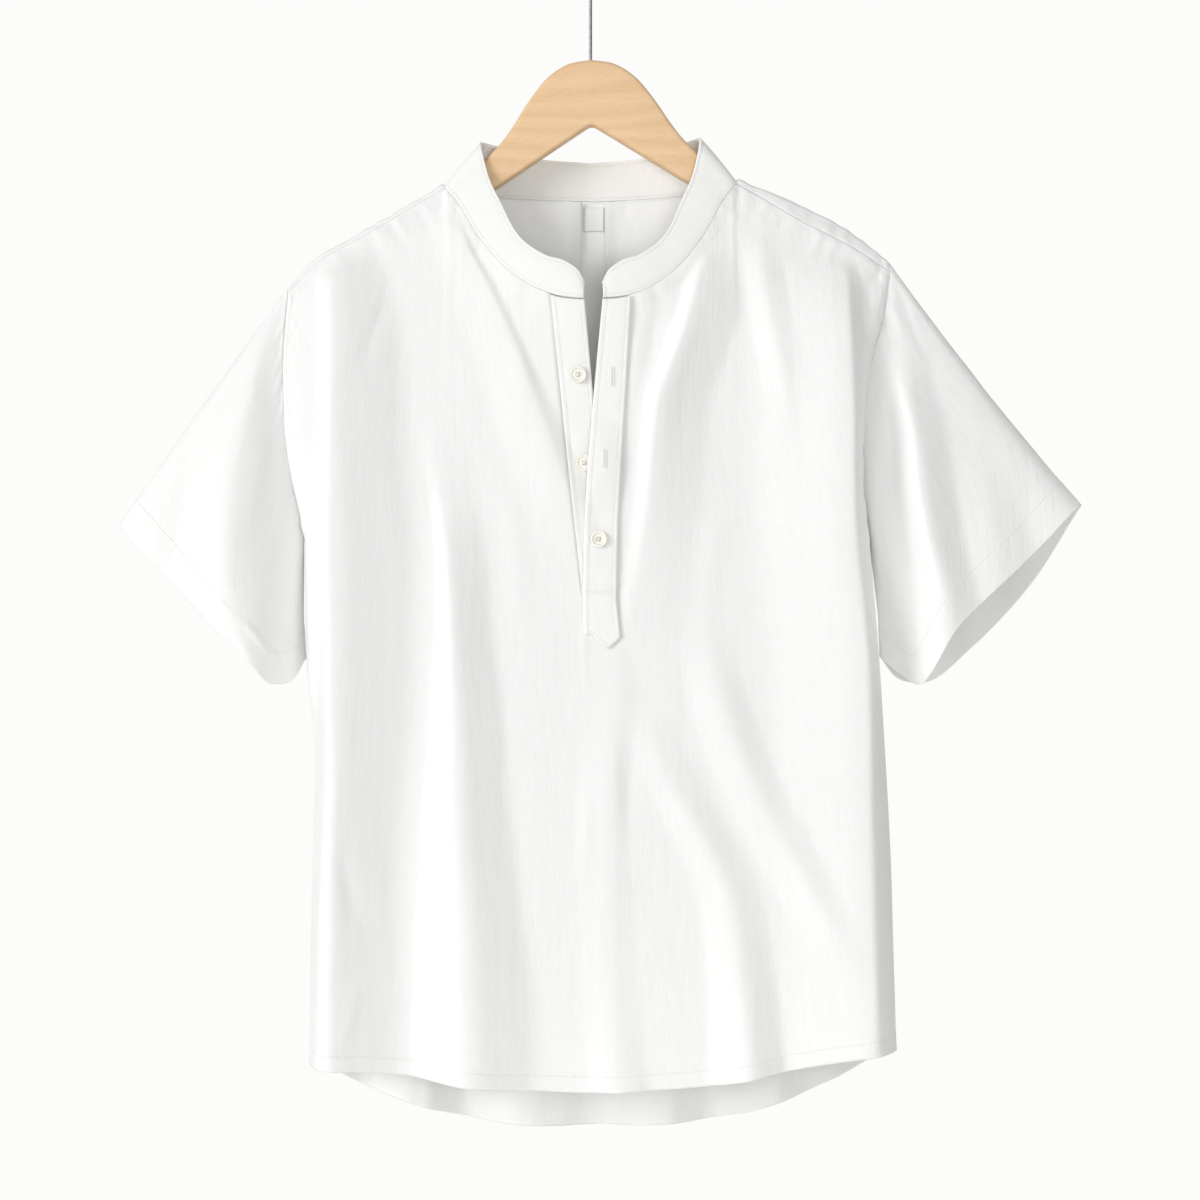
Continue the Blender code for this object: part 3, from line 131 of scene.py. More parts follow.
# ---- large folds, each listed down its crest: z, crest x, the reach of its left and
# ---- right flanks, its rise
FRONT_FOLDS = (
    ("left drape", (
        (-235.6, -204.4, 10, 34, 3), (-258.4, -200.6, 12, 46, 10), (-287.4, -198.3, 12, 56, 14),
        (-352.1, -197.6, 13, 62, 16), (-416.9, -198.3, 12, 66, 17), (-485.4, -199.1, 12, 75, 19),
        (-570, -197.6, 13, 72, 19), (-682.7, -202.1, 13, 65, 19), (-782.5, -205.2, 14, 68, 21),
        (-896.7, -207.5, 14, 73, 23),
    )),
    ("left centre drape", (
        (-378.8, -123.7, 10, 30, 0), (-439.7, -113.8, 10, 32, 3), (-485.4, -109.2, 10, 34, 9),
        (-546.3, -106.2, 13, 36, 12), (-598.1, -103.1, 21, 41, 13), (-682.7, -100.1, 33, 44, 14),
        (-739.1, -96.2, 40, 48, 15), (-820.6, -94.7, 44, 59, 18), (-904.3, -94, 46, 62, 18),
    )),
    ("pull from left neck", (
        (-208.1, -109.2, 20, 5, 0), (-234, -99.3, 30, 6, 2.5), (-287.4, -73.4, 36, 8, 3),
        (-312.5, -62.7, 38, 9, 3.5), (-367.3, -41.4, 40, 13, 4.5), (-409.2, -26.9, 40, 18, 5),
        (-454.9, -14.7, 40, 22, 3), (-496.8, -6.4, 40, 24, 0),
    )),
    ("pull from right neck", (
        (-241.7, 92.7, 12, 22, 0), (-264.5, 85, 12, 34, 5), (-287.4, 78.2, 12, 44, 10),
        (-325.4, 65.2, 11, 44, 12), (-363.5, 50.8, 10, 46, 12), (-401.6, 46.2, 10, 48, 10),
        (-439.7, 43.1, 10, 48, 8), (-485.4, 37.8, 12, 48, 4), (-523.5, 31.7, 14, 50, 2),
        (-557.8, 27.1, 14, 46, 0),
    )),
    ("right chest", (
        (-249.3, 194.7, 60, 12, 0), (-287.4, 196.2, 76, 12, 11), (-363.5, 199.3, 84, 12, 17),
        (-454.9, 200.8, 84, 12, 18), (-554, 210, 84, 13, 16), (-691.1, 213, 78, 14, 13),
        (-896.7, 219.1, 75, 14, 12),
    )),
    ("right waist fall", (
        (-588.2, 36.3, 14, 20, 0), (-626.3, 48.5, 20, 26, 2), (-668.2, 68.3, 24, 27, 4),
        (-724.6, 100.3, 28, 27, 5.5), (-795.4, 114, 30, 29, 8), (-904.3, 122.4, 34, 33, 13),
    )),
    ("right hip fall", (
        (-523.5, 88.1, 20, 20, 0), (-561.6, 93.4, 26, 22, 2.5), (-592, 100.3, 30, 24, 5),
        (-654.5, 123.1, 32, 26, 5), (-733.7, 164.3, 30, 24, 4.5), (-774.9, 186.3, 26, 20, 2),
        (-809.1, 197.8, 22, 20, 0),
    )),
    ("hem centre", (
        (-546.3, 16.5, 30, 16, 0), (-592, 21.1, 30, 18, 1.5), (-660.6, 15.7, 30, 16, 3),
        (-744.4, 14.2, 26, 20, 2), (-820.6, 16.5, 26, 24, 2.5), (-904.3, 24.1, 26, 26, 6),
    )),
    ("right shoulder", (
        (-232.5, 130.7, 18, 16, 0), (-264.5, 132.3, 18, 18, 4), (-302.6, 136.8, 18, 20, 4),
        (-355.9, 148.3, 18, 20, 2), (-386.4, 152.1, 18, 20, 0),
    )),
)
BACK_FOLDS = (
    ("left blade", (
        (-300, -168, 34, 26, 0), (-400, -166, 36, 30, 8), (-620, -168, 42, 32, 13),
        (-860, -174, 50, 36, 17), (-980, -176, 50, 36, 17),
    )),
    ("left waist", (
        (-470, -84, 26, 34, 0), (-620, -92, 30, 38, 10), (-800, -96, 34, 42, 14),
        (-980, -98, 34, 44, 15),
    )),
    ("right waist", (
        (-430, 78, 30, 26, 0), (-600, 90, 34, 28, 9), (-800, 97, 38, 30, 14), (-980, 98, 42, 32, 16),
    )),
    ("right blade", (
        (-290, 172, 24, 34, 0), (-400, 169, 26, 36, 8), (-620, 170, 30, 40, 12),
        (-860, 176, 34, 46, 15), (-980, 178, 34, 48, 15),
    )),
    ("pleat fall", (
        (-430, 2, 40, 40, 0), (-620, 2, 44, 44, 7), (-800, 2, 48, 48, 10), (-980, 2, 52, 52, 12),
    )),
)
SLEEVE_FOLDS = {
    "left": (
        ("recess", (
            (-280, -238, 30, 8, 4), (-320, -251, 34, 18, 9), (-370, -267, 36, 30, 13),
            (-441, -280, 38, 42, 16), (-500, -280, 40, 42, 15), (-544, -273, 40, 38, 12),
            (-600, -266, 44, 40, 9),
        )),
        ("outer fall", (
            (-352, -292, 24, 34, 0), (-410, -312, 26, 36, 3), (-480, -336, 28, 38, 5),
            (-530, -354, 28, 40, 5),
        )),
    ),
    "right": (
        ("ridge", (
            (-285, 228, 8, 24, 1), (-303, 231, 10, 26, 5), (-347, 238, 11, 28, 9),
            (-377, 245, 12, 30, 11), (-438, 252, 13, 32, 13), (-469, 258, 15, 32, 13),
            (-500, 266, 20, 32, 12), (-531, 272, 26, 34, 11), (-600, 280, 30, 36, 9),
        )),
        ("inner fold", (
            (-316, 219, 14, 8, 0), (-347, 225, 14, 9, -6), (-377, 232, 18, 10, -14),
            (-438, 236, 22, 12, -24), (-469, 240, 24, 13, -26), (-500, 244, 26, 14, -24),
            (-531, 246, 28, 16, -18), (-600, 246, 28, 18, -10),
        )),
        ("outer fall", (
            (-372, 300, 26, 30, 0), (-430, 306, 28, 32, 3), (-500, 314, 30, 34, 5),
            (-570, 324, 32, 34, 5),
        )),
    ),
}
RAMP_SOFT = 0.25
# centre-back box pleat: the inner and outer fold lines, and where it has opened out
PLEAT_CENTRE = 2.4
PLEAT_INNER = 9.4
PLEAT_OUTER = 17.5
PLEAT_LAYER = 2.2
PLEAT_SHUT_Z = -300.0
PLEAT_OPEN_Z = -560.0
PLEAT_FLAT_Z = -620.0
PLEAT_EDGE = 26.0
PLEAT_TUCK = 1.0
# the layers' least spacing, and how far shut the pleat is where it is full
PLEAT_LOOSE = 0.3
PLEAT_FULL = 0.45
# from the edge to the middle: a fold line's offset shut, its offset open, its layer
PLEAT_FOLDS = (
    (PLEAT_INNER, 22.0, 0), (PLEAT_INNER, 18.0, 0.75), (PLEAT_OUTER, 14.0, 1.25), (PLEAT_OUTER, 9.0, 2),
)

# ---- sleeve hems from the crest fold to the underarm: x, y, z ----
SLEEVE_HEM = {
    "left": {
        "front": (
            (-363.7, 0, -458.7), (-361.5, -3.4, -461), (-326, -14, -497.5), (-282, -26, -542),
            (-258.5, -27, -565.5), (-247.5, -20, -579), (-233.5, -8, -579.6), (-220.8, 10, -561),
        ),
        "back": (
            (-363.7, 0, -458.7), (-361, 3.4, -460.5), (-328, 15, -493), (-284, 26, -538),
            (-254, 30, -570), (-234, 26, -574), (-220.8, 10, -561),
        ),
    },
    "right": {
        "front": (
            (379.2, 0, -443.2), (376.5, -3.4, -445), (343, -12, -478.5), (303, -22, -515),
            (277, -27, -541), (263, -23, -567.5), (254, -12, -581), (239, 0, -573), (224.6, 10, -560),
        ),
        "back": (
            (379.2, 0, -443.2), (377.5, 3.4, -446.5), (345.5, 16, -500), (299, 26, -552.5),
            (262, 28, -580.5), (241, 24, -578), (224.6, 10, -560),
        ),
    },
}
SLEEVE_TOP_SAG = {"left": 2.2, "right": -4.5}
SLEEVE_SWELL = 7.0
RING_SPREAD = 0.95
UNDERARM_STAND = 1.5
# how much of its folds a sleeve keeps, and of these at its hem
SLEEVE_KEEP = 0.8
HEM_KEEP = 0.85
# the share of a sleeve's length from which its hem quiets the folds, and over how much
HEM_FROM = 0.85
HEM_REACH = 0.15
CREST_SHARE = 0.05

# ---- half placket: z, then the edges of the under and the over strip ----
# z, under left, under right, over left, over right
PLACKET = (
    (-283, -30.5, -4.8, 9.6, 31), (-357, -22.8, 1.8, 2.7, 26.8), (-411, -17.4, 5, -1.9, 23.4),
    (-454, -12.6, 8, -4.3, 21), (-516, -5.8, 12, -5.8, 19.8), (-541, -5.4, 12, -5.4, 22.4),
)
OVER_LAP = 2.5
TAB_FOOT_Z = -541.0
TAB_POINT = (13.0, -553.5)
NECK_CLEAR = 1.3
TAB_SLOPE = 0.95
# ---- buttons: name, x, z, lies on ----
BUTTONS = (
    ("button_1", -9.5, -344.5, "under"), ("button_2", -4.8, -411.6, "under"),
    ("button_3", 5.6, -469.5, "over"),
)
BUTTON_RADIUS = 6.2
BUTTON_THICK = 2.4
BUTTON_DISH = 0.8
BUTTON_RIM = 1.3
HOLE_RADIUS = 0.75
HOLE_SPACING = 1.35
BUTTON_HUMP = 3.2
BUTTON_HUMP_REACH = 42.0
BUTTON_HUMP_FLAT = 0.36

# ---- blank neck label ----
LABEL_WIDTH = 15.5
LABEL_TOP_Z = -208.5
LABEL_HEIGHT = 19.0
LABEL_GAP = 0.35
LABEL_CLOTH = 0.5
LABEL_STEPS = 15
LABEL_CURL = 0.25

# ---- hanger board: half outline from the centre outwards, x, z ----
BOARD_TOP = (
    (0.0, -99.2), (17.5, -102.3), (33.6, -112.4), (43.7, -124.0), (53.0, -137.1), (61.5, -150.2),
    (69.5, -160.8), (80.0, -172.0), (95.0, -187.0), (106.0, -196.5), (118.0, -201.8),
    (147.3, -215.0), (178.2, -231.8), (203.0, -246.5),
)
BOARD_FOOT = ((212.0, -258.0), (206.0, -266.0), (112.0, -217.5), (74.6, -196.8), (3.0, -151.2))
BOARD_APEX_Z = -149.8
BOARD_THICK = 13.0
BOARD_ROUND = 3.0
BOARD_TILT = radians(1.2)

# ---- hook ----
WIRE_RADIUS = 1.25
HOOK_RADIUS = 19.0
HOOK_TIP = radians(-28)
HOOK_TURN = radians(262)
STEM_START_Z = -49.0
STEM_DEPTH = 16.0
STEM_CLEAR = 0.35
HOOK_STEPS = 26

SIDES = (("left", -1.0), ("right", 1.0))
SAMPLES = 160
LINE_SAMPLES = 400

# ---- the way over the hanger: y and drop below the crest ----
WRAP_HALF = 8.4
WRAP_DROP = 5.2
WRAP_TURN = ((-6.7, 1.5), (-2.6, 0.0), (2.6, 0.0), (6.7, 1.5))
LAP_FROM = 3.4
LAP_REACH = 9.0
# the first turn's y and drop, and how much a lap adds to each
FIRST_TURN = (-7.6, 2.6)
LAP_TURN = (-0.9, 2.8)
# how late the cloth falls along the way, and the length of the curve's last stretch
LATE_FALL = 2.2
LAST_STRETCH = 1.6
NECK_FALL = 7.0
# how far the back stands off at the neck point, a column's share, and the fade's share
NECK_STAND = 3.6
COLUMN_SHARE = 0.0125
STAND_FADE = 0.06
# the drop over which the columns even out, and the least share between two of them
EVEN_OUT = 260.0
LEAST_SHARE = 0.0025

# ---- fine grids ----
CLOTH = 1.2
PLACKET_CLOTH = 1.6
LAY_GAP = 0.8
UNDERARM_GAP = 2.0
NECK_POINT = 0.6
ARMHOLE_ROWS = 7
SIDE_ROWS = 14
SLOT_ROW = 8
SIDE_STEPS = (0, 0.0025, 0.006, 0.011, 0.017, 0.024, 0.032, 0.037, 0.042, 0.05, 0.06, 0.072, 0.086, 0.1)
SHOULDER_STEPS = np.linspace(0.1, NECK_POINT, 41)[1:]
NECK_STEPS = np.linspace(NECK_POINT, 1.0, 37)[1:]
ROW_MARKS = np.concatenate(
    [
        (0.0, 0.03, 0.08, 0.15, 0.22), np.linspace(0.3, ARMHOLE_ROWS, 68),
        np.linspace(ARMHOLE_ROWS, SLOT_ROW, 11)[1:], np.linspace(SLOT_ROW, 20.4, 125)[1:],
        np.linspace(20.4, 21.0, 13)[1:],
    ]
)
MIDDLE_STEPS = np.linspace(0, 1, 13)[1:-1]
WRAP_END = 6.0
WRAP_MARKS = np.linspace(0, WRAP_END, 25)[:-1]
# columns along the collar's seam, from its front end to the centre back
COLLAR_END_COLUMNS = 18
NECK_POINT_COLUMNS = 4
BEHIND_COLUMNS = 3
BACK_NECK_COLUMNS = 30
COLLAR_BACK_COLUMNS = 12
PLEAT_TURNS = (1.25, 1.5, 1.75, 2.0, 2.3, 2.6, 3.0, 3.25, 3.5, 3.75)
PLEAT_MARKS = np.concatenate([np.linspace(0, 1, 8)[1:], PLEAT_TURNS, np.linspace(4, 5, 9)[:-1]])
SLEEVE_STEPS = np.concatenate(
    [(0.0, 0.006, 0.014, 0.024), np.linspace(0.036, 0.93, 68), np.linspace(0.94, 1, 11)]
)
COLLAR_STEPS = np.concatenate(
    [(0, 0.03, 0.06, 0.1, 0.15, 0.2), np.linspace(0.25, 0.8, 18), (0.85, 0.9, 0.94, 0.97, 1)]
)
STRIP_COLUMNS = np.linspace(0, 1, 14)
STRIP_ROWS = 120
TIP_ROWS = 7


def run_of(line):
    """Arc length from the start of a line to each of its points."""
    return np.append(0.0, np.cumsum(np.linalg.norm(np.diff(line, axis=0), axis=1)))


def along(rows, share, columns=3):
    """Rows at the given shares of the length of a smooth curve, whose points are in the
    first columns."""
    rows = np.asarray(rows, float)
    run = run_of(rows[:, :columns])
    return smooth(run / run[-1], rows, share)


def smooth(knots, values, at):
    """Smooth interpolation of values, one row to a knot, with the knots rising."""
    knots = np.asarray(knots, float)
    values = np.asarray(values, float)
    at = np.clip(np.asarray(at, float), knots[0], knots[-1])
    slopes = np.gradient(values, knots, axis=0)
    i = np.clip(np.searchsorted(knots, at, side="right") - 1, 0, len(knots) - 2)
    width = knots[i + 1] - knots[i]
    t = (at - knots[i]) / width
    if values.ndim > 1:
        t, width = t[..., None], width[..., None]
    return (
        values[i] * (1 + 2 * t) * (1 - t) ** 2
        + slopes[i] * width * t * (1 - t) ** 2
        + values[i + 1] * t * t * (3 - 2 * t)
        - slopes[i + 1] * width * t * t * (1 - t)
    )


def falling(rows, z, column):
    """One column of a table that is listed from its highest z down."""
    rows = np.asarray(rows, float)[::-1]
    z_column = 0 if column > 0 else 1
    return smooth(rows[:, z_column], rows[:, column], z)


def ease(t):
    """A smooth step from 0 to 1."""
    t = np.clip(t, 0.0, 1.0)
    return t * t * (3 - 2 * t)


def ramp(share):
    """A soft-ended ramp from 0 to 1, straight between its ends."""
    share = np.clip(share, 0.0, 1.0)
    bend = 2 * RAMP_SOFT * (1 - RAMP_SOFT)
    straight = (share - RAMP_SOFT / 2) / (1 - RAMP_SOFT)
    upper = np.where(share > 1 - RAMP_SOFT, 1 - (1 - share) ** 2 / bend, straight)
    return np.where(share < RAMP_SOFT, share**2 / bend, upper)


def fold_rise(folds, x, z):
    """The rise of all the folds at x, z: ridges with two unequal, nearly flat flanks."""
    x, z = np.broadcast_arrays(x, z)
    total = np.zeros(x.shape)
    for _, rows in folds:
        crest, left, right, rise = (falling(rows, z, column) for column in (1, 2, 3, 4))
        off = x - crest
        lowest = min(0.0, min(row[4] for row in rows))
        highest = None if lowest == 0 else 0.0
        height = np.clip(rise, lowest, highest)
        total += height * ramp(1 - np.abs(off) / np.where(off < 0, left, right))
    return total


# ---- the seams ----


def collar_curves(side, share):
    """Seam and top points of the collar on one side, front end to centre back."""
    rows = along([row[1:] for row in COLLAR], share)
    out = []
    for part in (rows[:, :3], rows[:, 3:]):
        part = part.copy()
        forward = np.clip(-part[:, 1] / COLLAR_DEPTH, 0.0, 1.0) ** 2
        part[:, 2] += COLLAR_RIGHT_LIFT * (side > 0) * (rows[:, 0] / NECK_WIDEST) ** 2
        part[:, 0] = side * part[:, 0] + COLLAR_FRONT_SHIFT * forward
        out.append(part)
    return out


def collar_share(where):
    """The share of the collar seam's length at a named row of its table."""
    run = run_of(np.array([row[1:4] for row in COLLAR]))
    return run[[row[0] for row in COLLAR].index(where)] / run[-1]


def shoulder_line(name, share):
    """Shoulder seam points and crest rise, from the neck (0) to the sleeve (1)."""
    return along(SHOULDER[name], share)


def edge_x(name, z):
    """x of the panel's side: the armhole above the underarm, the side seam below."""
    hole = np.array(ARMHOLE[name])[::-1]
    seam = np.array(SIDE[name])[::-1]
    return np.where(
        z > hole[0, 1], smooth(hole[:, 1], hole[:, 0], z), smooth(seam[:, 1], seam[:, 0], z)
    )


def edge_depth(name, z, back):
    """How far the armhole seam stands off the middle plane, in front or behind."""
    hole = np.array(ARMHOLE[name])[::-1]
    depth = np.interp(z, hole[:, 1], hole[:, 3 if back else 2])
    return np.where(z > hole[0, 1], depth, 0.0)


def slot_x(side, z):
    """x of the front's slot edge on one side, down to the slot's foot."""
    rows = np.array(PLACKET)[::-1]
    if side < 0:
        return np.interp(z, rows[:, 0], rows[:, 1])
    return np.interp(z, rows[:, 0], rows[:, 4]) - OVER_LAP


def neckline_share(side):
    """The share of the collar seam at which the slot's edge meets it."""
    shares = np.linspace(0.0, collar_share("front side"), 200)
    seam = collar_curves(side, shares)[0]
    slot = abs(slot_x(side, PLACKET[0][0]))
    return shares[np.argmin(np.abs(np.abs(seam[:, 0]) - slot))]


def front_top(name, side, u):
    """The front's upper edge on one side: the shoulder seam, then the neckline."""
    u = np.asarray(u, float)
    shoulder = shoulder_line(name, np.clip(1 - u / NECK_POINT, 0, 1))[:, :3]
    neck, slot = collar_share("shoulder"), neckline_share(side)
    down = np.clip((u - NECK_POINT) / (1 - NECK_POINT), 0, 1)
    neckline = collar_curves(side, neck + (slot - neck) * down)[0]
    return np.where((u < NECK_POINT)[:, None], shoulder, neckline)


def upper_edges():
    """Sampled upper edges of the front and of the back, as x, y, z rising in x."""
    fine = np.linspace(0, 1, SAMPLES)
    ends = [collar_curves(side, np.linspace(0, neckline_share(side), 12))[0] for _, side in SIDES]
    tops = [front_top(name, side, fine) for name, side in SIDES]
    front = np.vstack([tops[0], ends[0][::-1], ends[1], tops[1][::-1]])
    behind = collar_share("behind crest")
    halves = []
    for name, side in SIDES:
        line = shoulder_line(name, fine)[::-1]
        line[:, 2] += line[:, 3] - WRAP_DROP
        line[:, 1] = WRAP_HALF
        neck = collar_curves(side, np.linspace(behind, 1, 60))[0]
        halves.append(np.vstack([line[:, :3], neck]))
    back = np.vstack([halves[0], halves[1][::-1]])
    return front[np.argsort(front[:, 0], kind="stable")], back[np.argsort(back[:, 0], kind="stable")]


FRONT_EDGE, BACK_EDGE = upper_edges()


def stand_off(x, z, back):
    """Smooth depth of the body, round at its sides, before its folds."""
    depth = falling(DEPTH, z, 2 if back else 1) + CENTRE_SWELL * (1 - (x / HALF_WIDTH) ** 2)
    rounding = np.ones(np.broadcast(x, z).shape)
    for name, side in SIDES:
        off = np.clip(side * (edge_x(name, z) - x) / SIDE_ROUND[name], 0.0, 1.0)
        rounding = rounding * np.sqrt(1 - (1 - off) ** 2)
    nearest = np.where(x < 0, edge_depth("left", z, back), edge_depth("right", z, back))
    return nearest + (depth - nearest) * rounding, rounding


def panel_y(x, z, back=False):
    """y of the front's or the back's mid-surface, folds and all."""
    x, z = np.asarray(x, float), np.asarray(z, float)
    edge = BACK_EDGE if back else FRONT_EDGE
    top_y = np.abs(np.interp(x, edge[:, 0], edge[:, 1]))
    below = np.clip(np.interp(x, edge[:, 0], edge[:, 2]) - z, 0.0, None)
    full, rounding = stand_off(x, z, back)
    depth = top_y + (full - top_y) * (1 - np.exp(-below / DEPTH_FALL))
    folds = fold_rise(BACK_FOLDS if back else FRONT_FOLDS, x, z)
    depth = depth + folds * rounding * ease(below / FOLD_START)
    return depth if back else -depth


# ---- panels as fine grids ----


def row_heights(name, armhole_top, marks):
    """z of the rows on one side edge: down the armhole, then down the side seam."""
    under, hem = SIDE[name][0][1], SIDE[name][-1][1]
    stops = (0, ARMHOLE_ROWS, ARMHOLE_ROWS + SIDE_ROWS)
    return np.interp(marks, stops, (armhole_top, under, hem))


def blended_share(x, tops, marks):
    """The rows' shares of the way to the hem, blended from the left to the right side."""
    ends = [SHOULDER[name][-1][0] for name, _ in SIDES]
    shares = []
    for (name, _), top in zip(SIDES, tops):
        hem = SIDE[name][-1][1]
        shares.append((row_heights(name, top, marks) - top) / (hem - top))
    reach = np.clip((x - ends[0]) / (ends[1] - ends[0]), 0.0, 1.0)
    return shares[0][:, None] * (1 - reach) + shares[1][:, None] * reach


def spread(name, top, tops, inner, back):
    """x and z of half a panel: its outer columns follow the side's line, and the others
    even out downwards between them and the inner line, whose x is given for each z."""
    last_outer = len(SIDE_STEPS) - 1
    offset = top[: last_outer + 1, 0] - top[0, 0]
    own = (top[last_outer:, 0] - top[last_outer, 0]) / (top[-1, 0] - top[last_outer, 0])
    even = np.linspace(0, 1, len(own))
    order = np.minimum(LEAST_SHARE * np.arange(len(own)), even)

    def x_at(z):
        x = edge_x(name, z)
        loose = ease((top[last_outer:, 2] - z[:, last_outer:]) / EVEN_OUT)
        outer = x[:, last_outer:] + offset[-1]
        share = own * (1 - loose) + even * loose
        share = np.maximum.accumulate(share - order, axis=1) + order
        rest = outer + (inner(z[:, last_outer:]) - outer) * share
        return np.hstack([x[:, :last_outer] + offset[:-1], rest])

    hem = np.array(HEM)
    hem_z = np.full((1, len(top)), hem[:, 1].mean())
    for _ in range(3):
        hem_z = smooth(hem[:, 0], hem[:, HEM_BACK if back else HEM_FRONT], x_at(hem_z))
    z = top[:, 2] + (hem_z - top[:, 2]) * blended_share(top[:, 0], tops, ROW_MARKS)
    return x_at(z), z


def foot_z():
    """z of the slot's foot."""
    tops = [ARMHOLE[name][0][1] for name, _ in SIDES]
    share = blended_share(np.array([0.0]), tops, np.array([SLOT_ROW]))[0, 0]
    neck_z, hem_z = COLLAR[2][3], HEM[5][1]
    return neck_z + (hem_z - neck_z) * share


def front_panel():
    """Grid of the front, with a slot for the placket, and its mask of faces."""
    u = np.concatenate([SIDE_STEPS, SHOULDER_STEPS, NECK_STEPS])
    tops = [ARMHOLE[name][0][1] for name, _ in SIDES]
    foot = foot_z()
    halves = []
    for name, side in SIDES:
        top = front_top(name, side, u)

        def slot_line(at, side=side):
            return slot_x(side, np.maximum(at, foot))

        x, z = spread(name, top, tops, slot_line, back=False)
        y = panel_y(x, z)
        x[0], y[0], z[0] = top.T
        y[:, 0] = -edge_depth(name, z[:, 0], back=False)
        halves.append(np.stack([x, y, z], axis=-1))
    left, right = halves[0], halves[1][:, ::-1]
    share = MIDDLE_STEPS[None, :, None]
    middle = left[:, -1:] * (1 - share) + right[:, :1] * share
    middle[..., 1] = panel_y(middle[..., 0], middle[..., 2])
    points = np.concatenate([left, middle, right], axis=1)
    faces = all_faces(points)
    slot = len(u) - 1
    slot_rows = int(np.searchsorted(ROW_MARKS, SLOT_ROW - 1e-6))
    faces[:slot_rows, slot : slot + len(MIDDLE_STEPS) + 1] = False
    return points, faces


def neck_shares(side):
    """Shares of the collar seam from the neck point round to the edge of the pleat."""
    shoulder, crest, behind = (collar_share(at) for at in ("shoulder", "crest", "behind crest"))
    fine = np.linspace(behind, 1, LINE_SAMPLES)
    x = collar_curves(side, fine)[0][:, 0]
    line = fine[np.argmin(np.abs(x - PLEAT_CENTRE - side * PLEAT_EDGE))]
    return np.concatenate(
        [
            np.linspace(shoulder, crest, NECK_POINT_COLUMNS + 1)[1:],
            np.linspace(crest, behind, BEHIND_COLUMNS + 1)[1:],
            np.linspace(behind, line, BACK_NECK_COLUMNS + 1)[1:],
        ]
    )


def pleat_lines(z):
    """Offsets from the pleat's centre and layers of its columns, at z."""
    shut = ease((z - PLEAT_OPEN_Z) / (PLEAT_SHUT_Z - PLEAT_OPEN_Z))
    spacing = PLEAT_LAYER * (PLEAT_LOOSE + (1 - PLEAT_LOOSE) * ease(shut / PLEAT_FULL))
    edge = np.full(z.shape, PLEAT_EDGE)
    offsets = [edge] + [a * shut + b * (1 - shut) for a, b, _ in PLEAT_FOLDS] + [edge * 0]
    layers = [edge * 0] + [layer * spacing for _, _, layer in PLEAT_FOLDS]
    layers.append(layers[-1])
    marks = np.arange(len(offsets))
    rows = np.stack([np.stack(offsets), np.stack(layers)], axis=-1)
    where = np.clip(np.searchsorted(marks, PLEAT_MARKS, side="right") - 1, 0, len(marks) - 2)
    part = (PLEAT_MARKS - where)[:, None, None]
    return rows[where] * (1 - part) + rows[where + 1] * part


def back_panel():
    """Grid of the back: forward over the shoulders, with a centre-back box pleat."""
    u = np.concatenate([SIDE_STEPS, SHOULDER_STEPS])
    shoulders = len(u)
    tops = [SHOULDER[name][-1][2] + SHOULDER[name][-1][3] - WRAP_DROP for name, _ in SIDES]
    halves = []
    for name, side in SIDES:
        line = shoulder_line(name, 1 - u / NECK_POINT)
        neck = collar_curves(side, neck_shares(side))[0]
        seam = np.vstack([line[:, :3], neck])
        behind = np.zeros(len(seam))
        turn = shoulders + NECK_POINT_COLUMNS - 1
        past = turn + BEHIND_COLUMNS + 1
        behind[turn:past] = np.linspace(0, 1, past - turn)
        behind[past:] = 1
        landing = seam.copy()
        landing[:shoulders, 2] = line[:, 2] + line[:, 3] - WRAP_DROP
        drop = WRAP_DROP + (NECK_FALL - WRAP_DROP) * behind
        landing[shoulders:, 2] -= drop[shoulders:]
        from_point = np.linspace(0, 1, NECK_POINT_COLUMNS + 1)[1:]
        blend = landing[shoulders - 1, 2] * (1 - from_point) + landing[turn, 2] * from_point
        landing[shoulders : turn + 1, 2] = blend
        edge_line = PLEAT_CENTRE + side * PLEAT_EDGE

        def pleat_line(at, line=edge_line):
            return np.full(at.shape, line)

        x, z = spread(name, landing, tops, pleat_line, back=True)
        y = panel_y(x, z, back=True)
        y[:, 0] = edge_depth(name, z[:, 0], back=True)
        y[0] = WRAP_HALF * (1 - behind) + y[0] * behind
        grid = np.stack([x, y, z], axis=-1)
        wrap = over_shoulder(seam, line, grid, drop, behind, turn)
        grid = np.concatenate([wrap, grid], axis=0)
        tucked = np.linspace(seam[-1, 2] - PLEAT_TUCK, z[0, -1], len(WRAP_MARKS), endpoint=False)
        level = np.concatenate([tucked, z[:, -1]])
        base = panel_y(np.full(level.shape, edge_line), level, back=True)
        flat = ease((level - PLEAT_FLAT_Z) / (PLEAT_SHUT_Z - PLEAT_FLAT_Z))
        pleat = []
        for offset, layer in np.moveaxis(pleat_lines(level), 2, 1):
            fold_x = PLEAT_CENTRE + side * offset
            fold_y = base * flat + panel_y(fold_x, level, back=True) * (1 - flat) + layer
            pleat.append(np.stack([fold_x, fold_y, level], axis=-1))
        halves.append(np.concatenate([grid, np.stack(pleat, axis=1)], axis=1))
    z = halves[0][:, -1, 2]
    y = (halves[0][:, -1, 1] + halves[1][:, -1, 1]) / 2
    centre = np.stack([np.full(z.shape, PLEAT_CENTRE), y, z], axis=-1)
    return np.concatenate([halves[0], centre[:, None], halves[1][:, ::-1]], axis=1)


